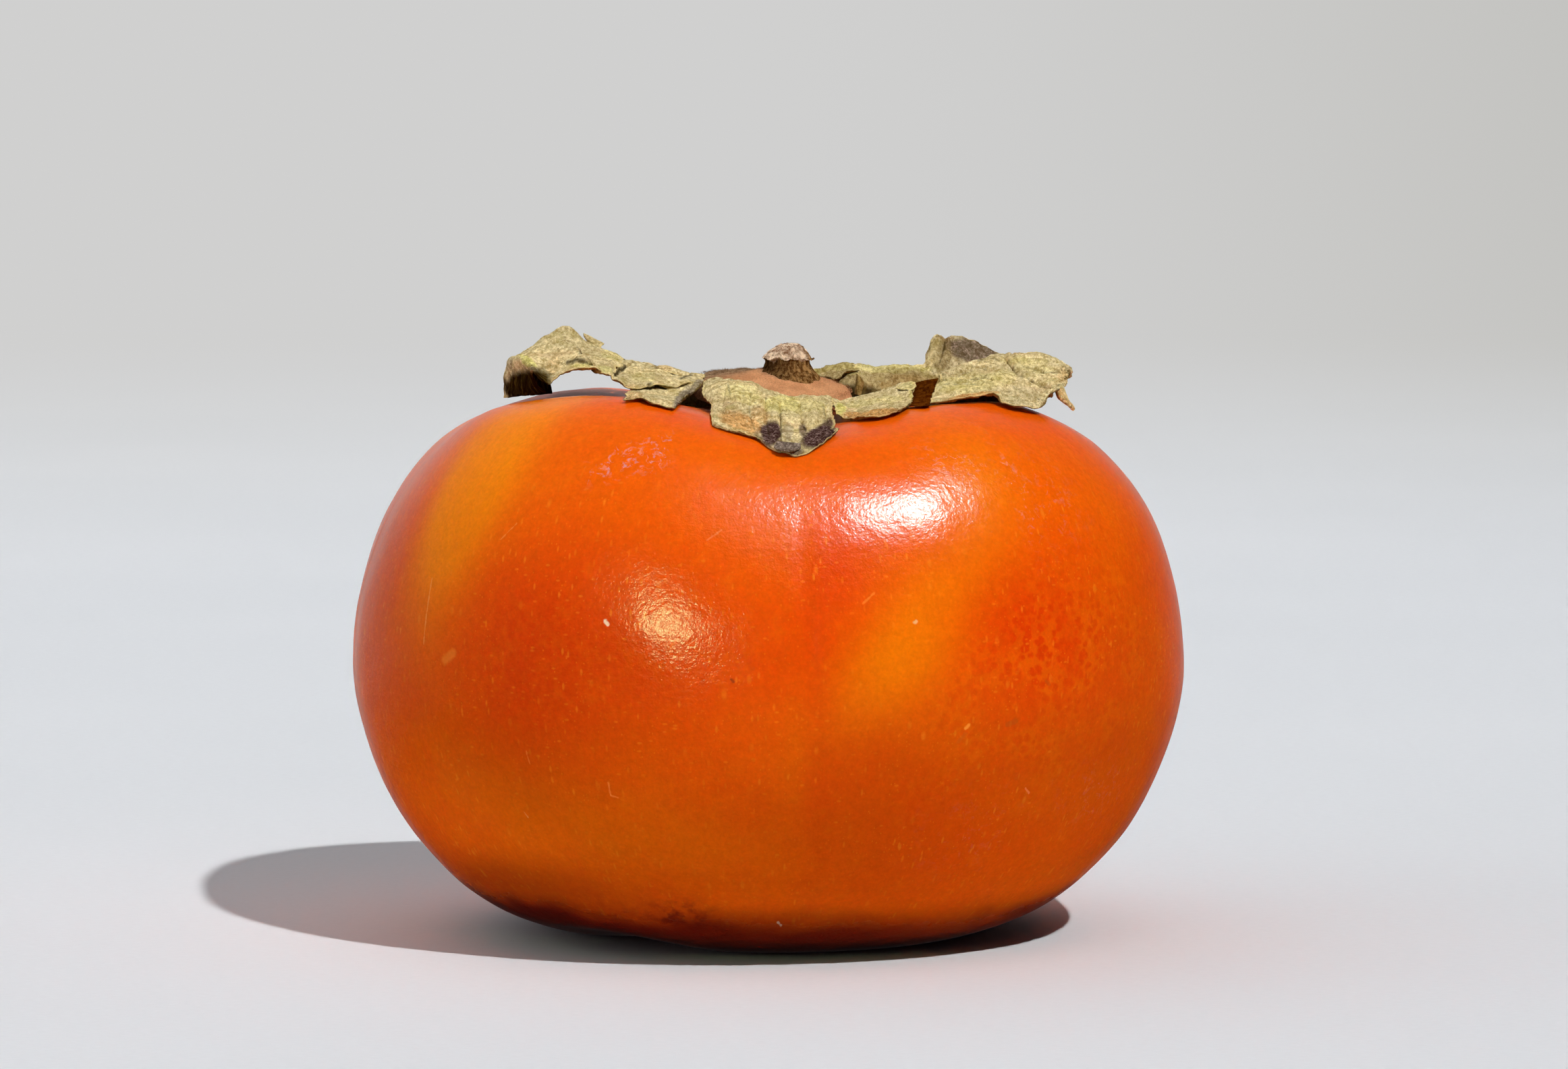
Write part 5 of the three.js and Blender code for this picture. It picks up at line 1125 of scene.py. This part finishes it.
# ------------------------------------------------------------------ stage: one sweep of pale cloth
def build_stage():
    m = Mat("stage_cloth")
    p = m.p
    rad = m.vec("LENGTH", m.co)
    near = m.noise(scale=6.0, detail=2.0)
    col = m.mix(m.ramp(near, 0.3, 0.7), (0.748, 0.784, 0.828), (0.772, 0.806, 0.850))
    weave = m.noise(scale=1.0, at=m.stretch(m.co, 900, 2600, 1000), detail=2.0)
    col = m.bright(col, m.ramp(weave, 0.3, 0.7, 0.985, 1.015, soft=False))
    side = m.node("ShaderNodeSeparateXYZ")
    m.put(side.inputs[0], m.co)
    # painted shade: the cloth darker towards the right
    col = m.bright(col, m.ramp(side.outputs[0], 0.02, 0.30, 1.0, 0.90))
    m.put(p.inputs["Base Color"], col)
    p.inputs["Roughness"].default_value = 0.95
    p.inputs["Specular IOR Level"].default_value = 0.0
    # painted light: beyond 0.35 m the cloth becomes an emitter that glows as if lit, dimmer towards the right
    painted_glow = m.node("ShaderNodeEmission")
    m.put(painted_glow.inputs["Color"], m.mix(m.ramp(side.outputs[0], -0.02, 0.34), (0.632, 0.630, 0.626), (0.530, 0.526, 0.505)))
    blend = m.node("ShaderNodeMixShader")
    m.put(blend.inputs[0], m.ramp(rad, 0.35, 1.15))
    m.t.links.new(p.outputs[0], blend.inputs[1])
    m.t.links.new(painted_glow.outputs[0], blend.inputs[2])
    m.t.links.new(blend.outputs[0], m.out.inputs[0])
    floor = [(0, 0)] + [(r, 0) for r in np.linspace(0.05, 0.75, 15)]
    wall = [(r, 0) for r in np.linspace(0.75, 1.15, 9)]
    wall += [(1.15 + 0.55 * math.sin(a), 0.55 * (1 - math.cos(a))) for a in np.linspace(0.08, math.pi / 2, 24)] + [(1.7, z) for z in (0.7, 0.9, 1.1)]
    k = 128
    PH = np.linspace(0, 2 * math.pi, k, endpoint=False)
    j = np.arange(k)
    for name, prof in (("stage_floor", floor), ("stage_backdrop", wall)):
        prof = np.array(prof) * 1000
        n = len(prof)
        P = np.stack([prof[:, :1] * np.cos(PH), prof[:, :1] * np.sin(PH), np.repeat(prof[:, 1:], k, 1) - 0.02], -1)
        if name == "stage_floor":
            V = np.concatenate([P[0, :1], P[1:].reshape(-1, 3)])
            F = [quads(n - 1, k, True)[:, ::-1] + 1, np.stack([np.zeros(k, int), 1 + j, 1 + (j + 1) % k], -1)]
        else:
            V, F = P.reshape(-1, 3), [quads(n, k, True)[:, ::-1]]
        o = add_mesh(name, V, F, {}, m.m)
        o.visible_glossy = False
        if name == "stage_backdrop":
            o.visible_diffuse = o.visible_shadow = False


# ------------------------------------------------------------------ light
def direction(az, el):
    """Unit vector towards a light: azimuth in degrees to the right of the front, elevation above the floor."""
    a, e = math.radians(az), math.radians(el)
    return Vector((math.sin(a) * math.cos(e), -math.cos(a) * math.cos(e), math.sin(e)))


def sun(name, az, el, strength, angle, colour=(1, 1, 1), diffuse=True, glossy=True):
    d = bpy.data.lights.new(name, "SUN")
    d.energy, d.angle, d.color = strength, math.radians(angle), colour
    o = bpy.data.objects.new(name, d)
    o.rotation_euler = direction(az, el).to_track_quat("Z", "Y").to_euler()
    o.location = direction(az, el) * 1.0
    bpy.context.scene.collection.objects.link(o)
    o.visible_diffuse, o.visible_glossy = diffuse, glossy
    return o


def build_light():
    sun("key_light", 31.3, 45.4, 2.50, 1.6, (1.0, 0.985, 0.96), glossy=False)
    sun("key_shine", 43.0, 58.2, 36.0, 9.8, (1.0, 0.985, 0.97), diffuse=False)
    sun("key_haze", 34.0, 58.0, 4.6, 41.0, (1.0, 0.95, 0.97), diffuse=False)
    sun("front_shine", -20.2, 13.0, 14.5, 7.0, (0.80, 1.0, 0.42), diffuse=False)
    w = bpy.data.worlds.new("surroundings")
    w.use_nodes = True
    t = w.node_tree
    t.nodes.clear()
    out = t.nodes.new("ShaderNodeOutputWorld")
    bg = t.nodes.new("ShaderNodeBackground")
    co = t.nodes.new("ShaderNodeTexCoord")
    dot = t.nodes.new("ShaderNodeVectorMath")
    dot.operation = "DOT_PRODUCT"
    mr = t.nodes.new("ShaderNodeMapRange")
    mr.interpolation_type = "SMOOTHSTEP"
    cr = t.nodes.new("ShaderNodeMix")
    cr.data_type = "RGBA"
    t.links.new(co.outputs["Generated"], dot.inputs[0])
    dot.inputs[1].default_value = (-0.84, 0.45, 0.30)
    t.links.new(dot.outputs["Value"], mr.inputs["Value"])
    mr.inputs["From Min"].default_value, mr.inputs["From Max"].default_value = -0.5, 0.9
    sep = t.nodes.new("ShaderNodeSeparateXYZ")
    low = t.nodes.new("ShaderNodeMapRange")
    mul = t.nodes.new("ShaderNodeMath")
    mul.operation = "MULTIPLY"
    t.links.new(co.outputs["Generated"], sep.inputs[0])
    t.links.new(sep.outputs[2], low.inputs["Value"])
    low.inputs["From Min"].default_value, low.inputs["From Max"].default_value = -0.28, -0.08
    t.links.new(mr.outputs[0], mul.inputs[0])
    t.links.new(low.outputs[0], mul.inputs[1])
    t.links.new(mul.outputs[0], cr.inputs[0])
    cr.inputs[6].default_value = (0.020, 0.020, 0.021, 1)
    cr.inputs[7].default_value = (0.67, 0.66, 0.66, 1)
    t.links.new(cr.outputs[2], bg.inputs["Color"])
    bg.inputs["Strength"].default_value = 1.0
    t.links.new(bg.outputs[0], out.inputs[0])
    bpy.context.scene.world = w


# ------------------------------------------------------------------ put together
scene = bpy.context.scene
scene.view_settings.view_transform = "Standard"
scene.view_settings.look = "None"
scene.view_settings.exposure = 0.0
scene.view_settings.gamma = 1.0

leaf = sepal_material("dried_sepal_leaf", 0.08)
pieces = [
    (build_fruit(), "fruit", "fruit_skin"),
    (build_disc(), "calyx_disc", "calyx_felt"),
    (build_front(leaf), "sepal_front", "dried_sepal"),
    (build_left(leaf), "sepal_left", "dried_sepal"),
    (build_right(leaf), "sepal_right", "dried_sepal"),
    (build_back(leaf), "sepal_back", "dried_sepal"),
    (build_stem(), "stem_stub", "stem_wood"),
    (build_style(), "style_remnant", "dried_style"),
]
for piece, node, slot in pieces:
    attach(piece, "root")
    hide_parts(node)
build_stage()
build_light()
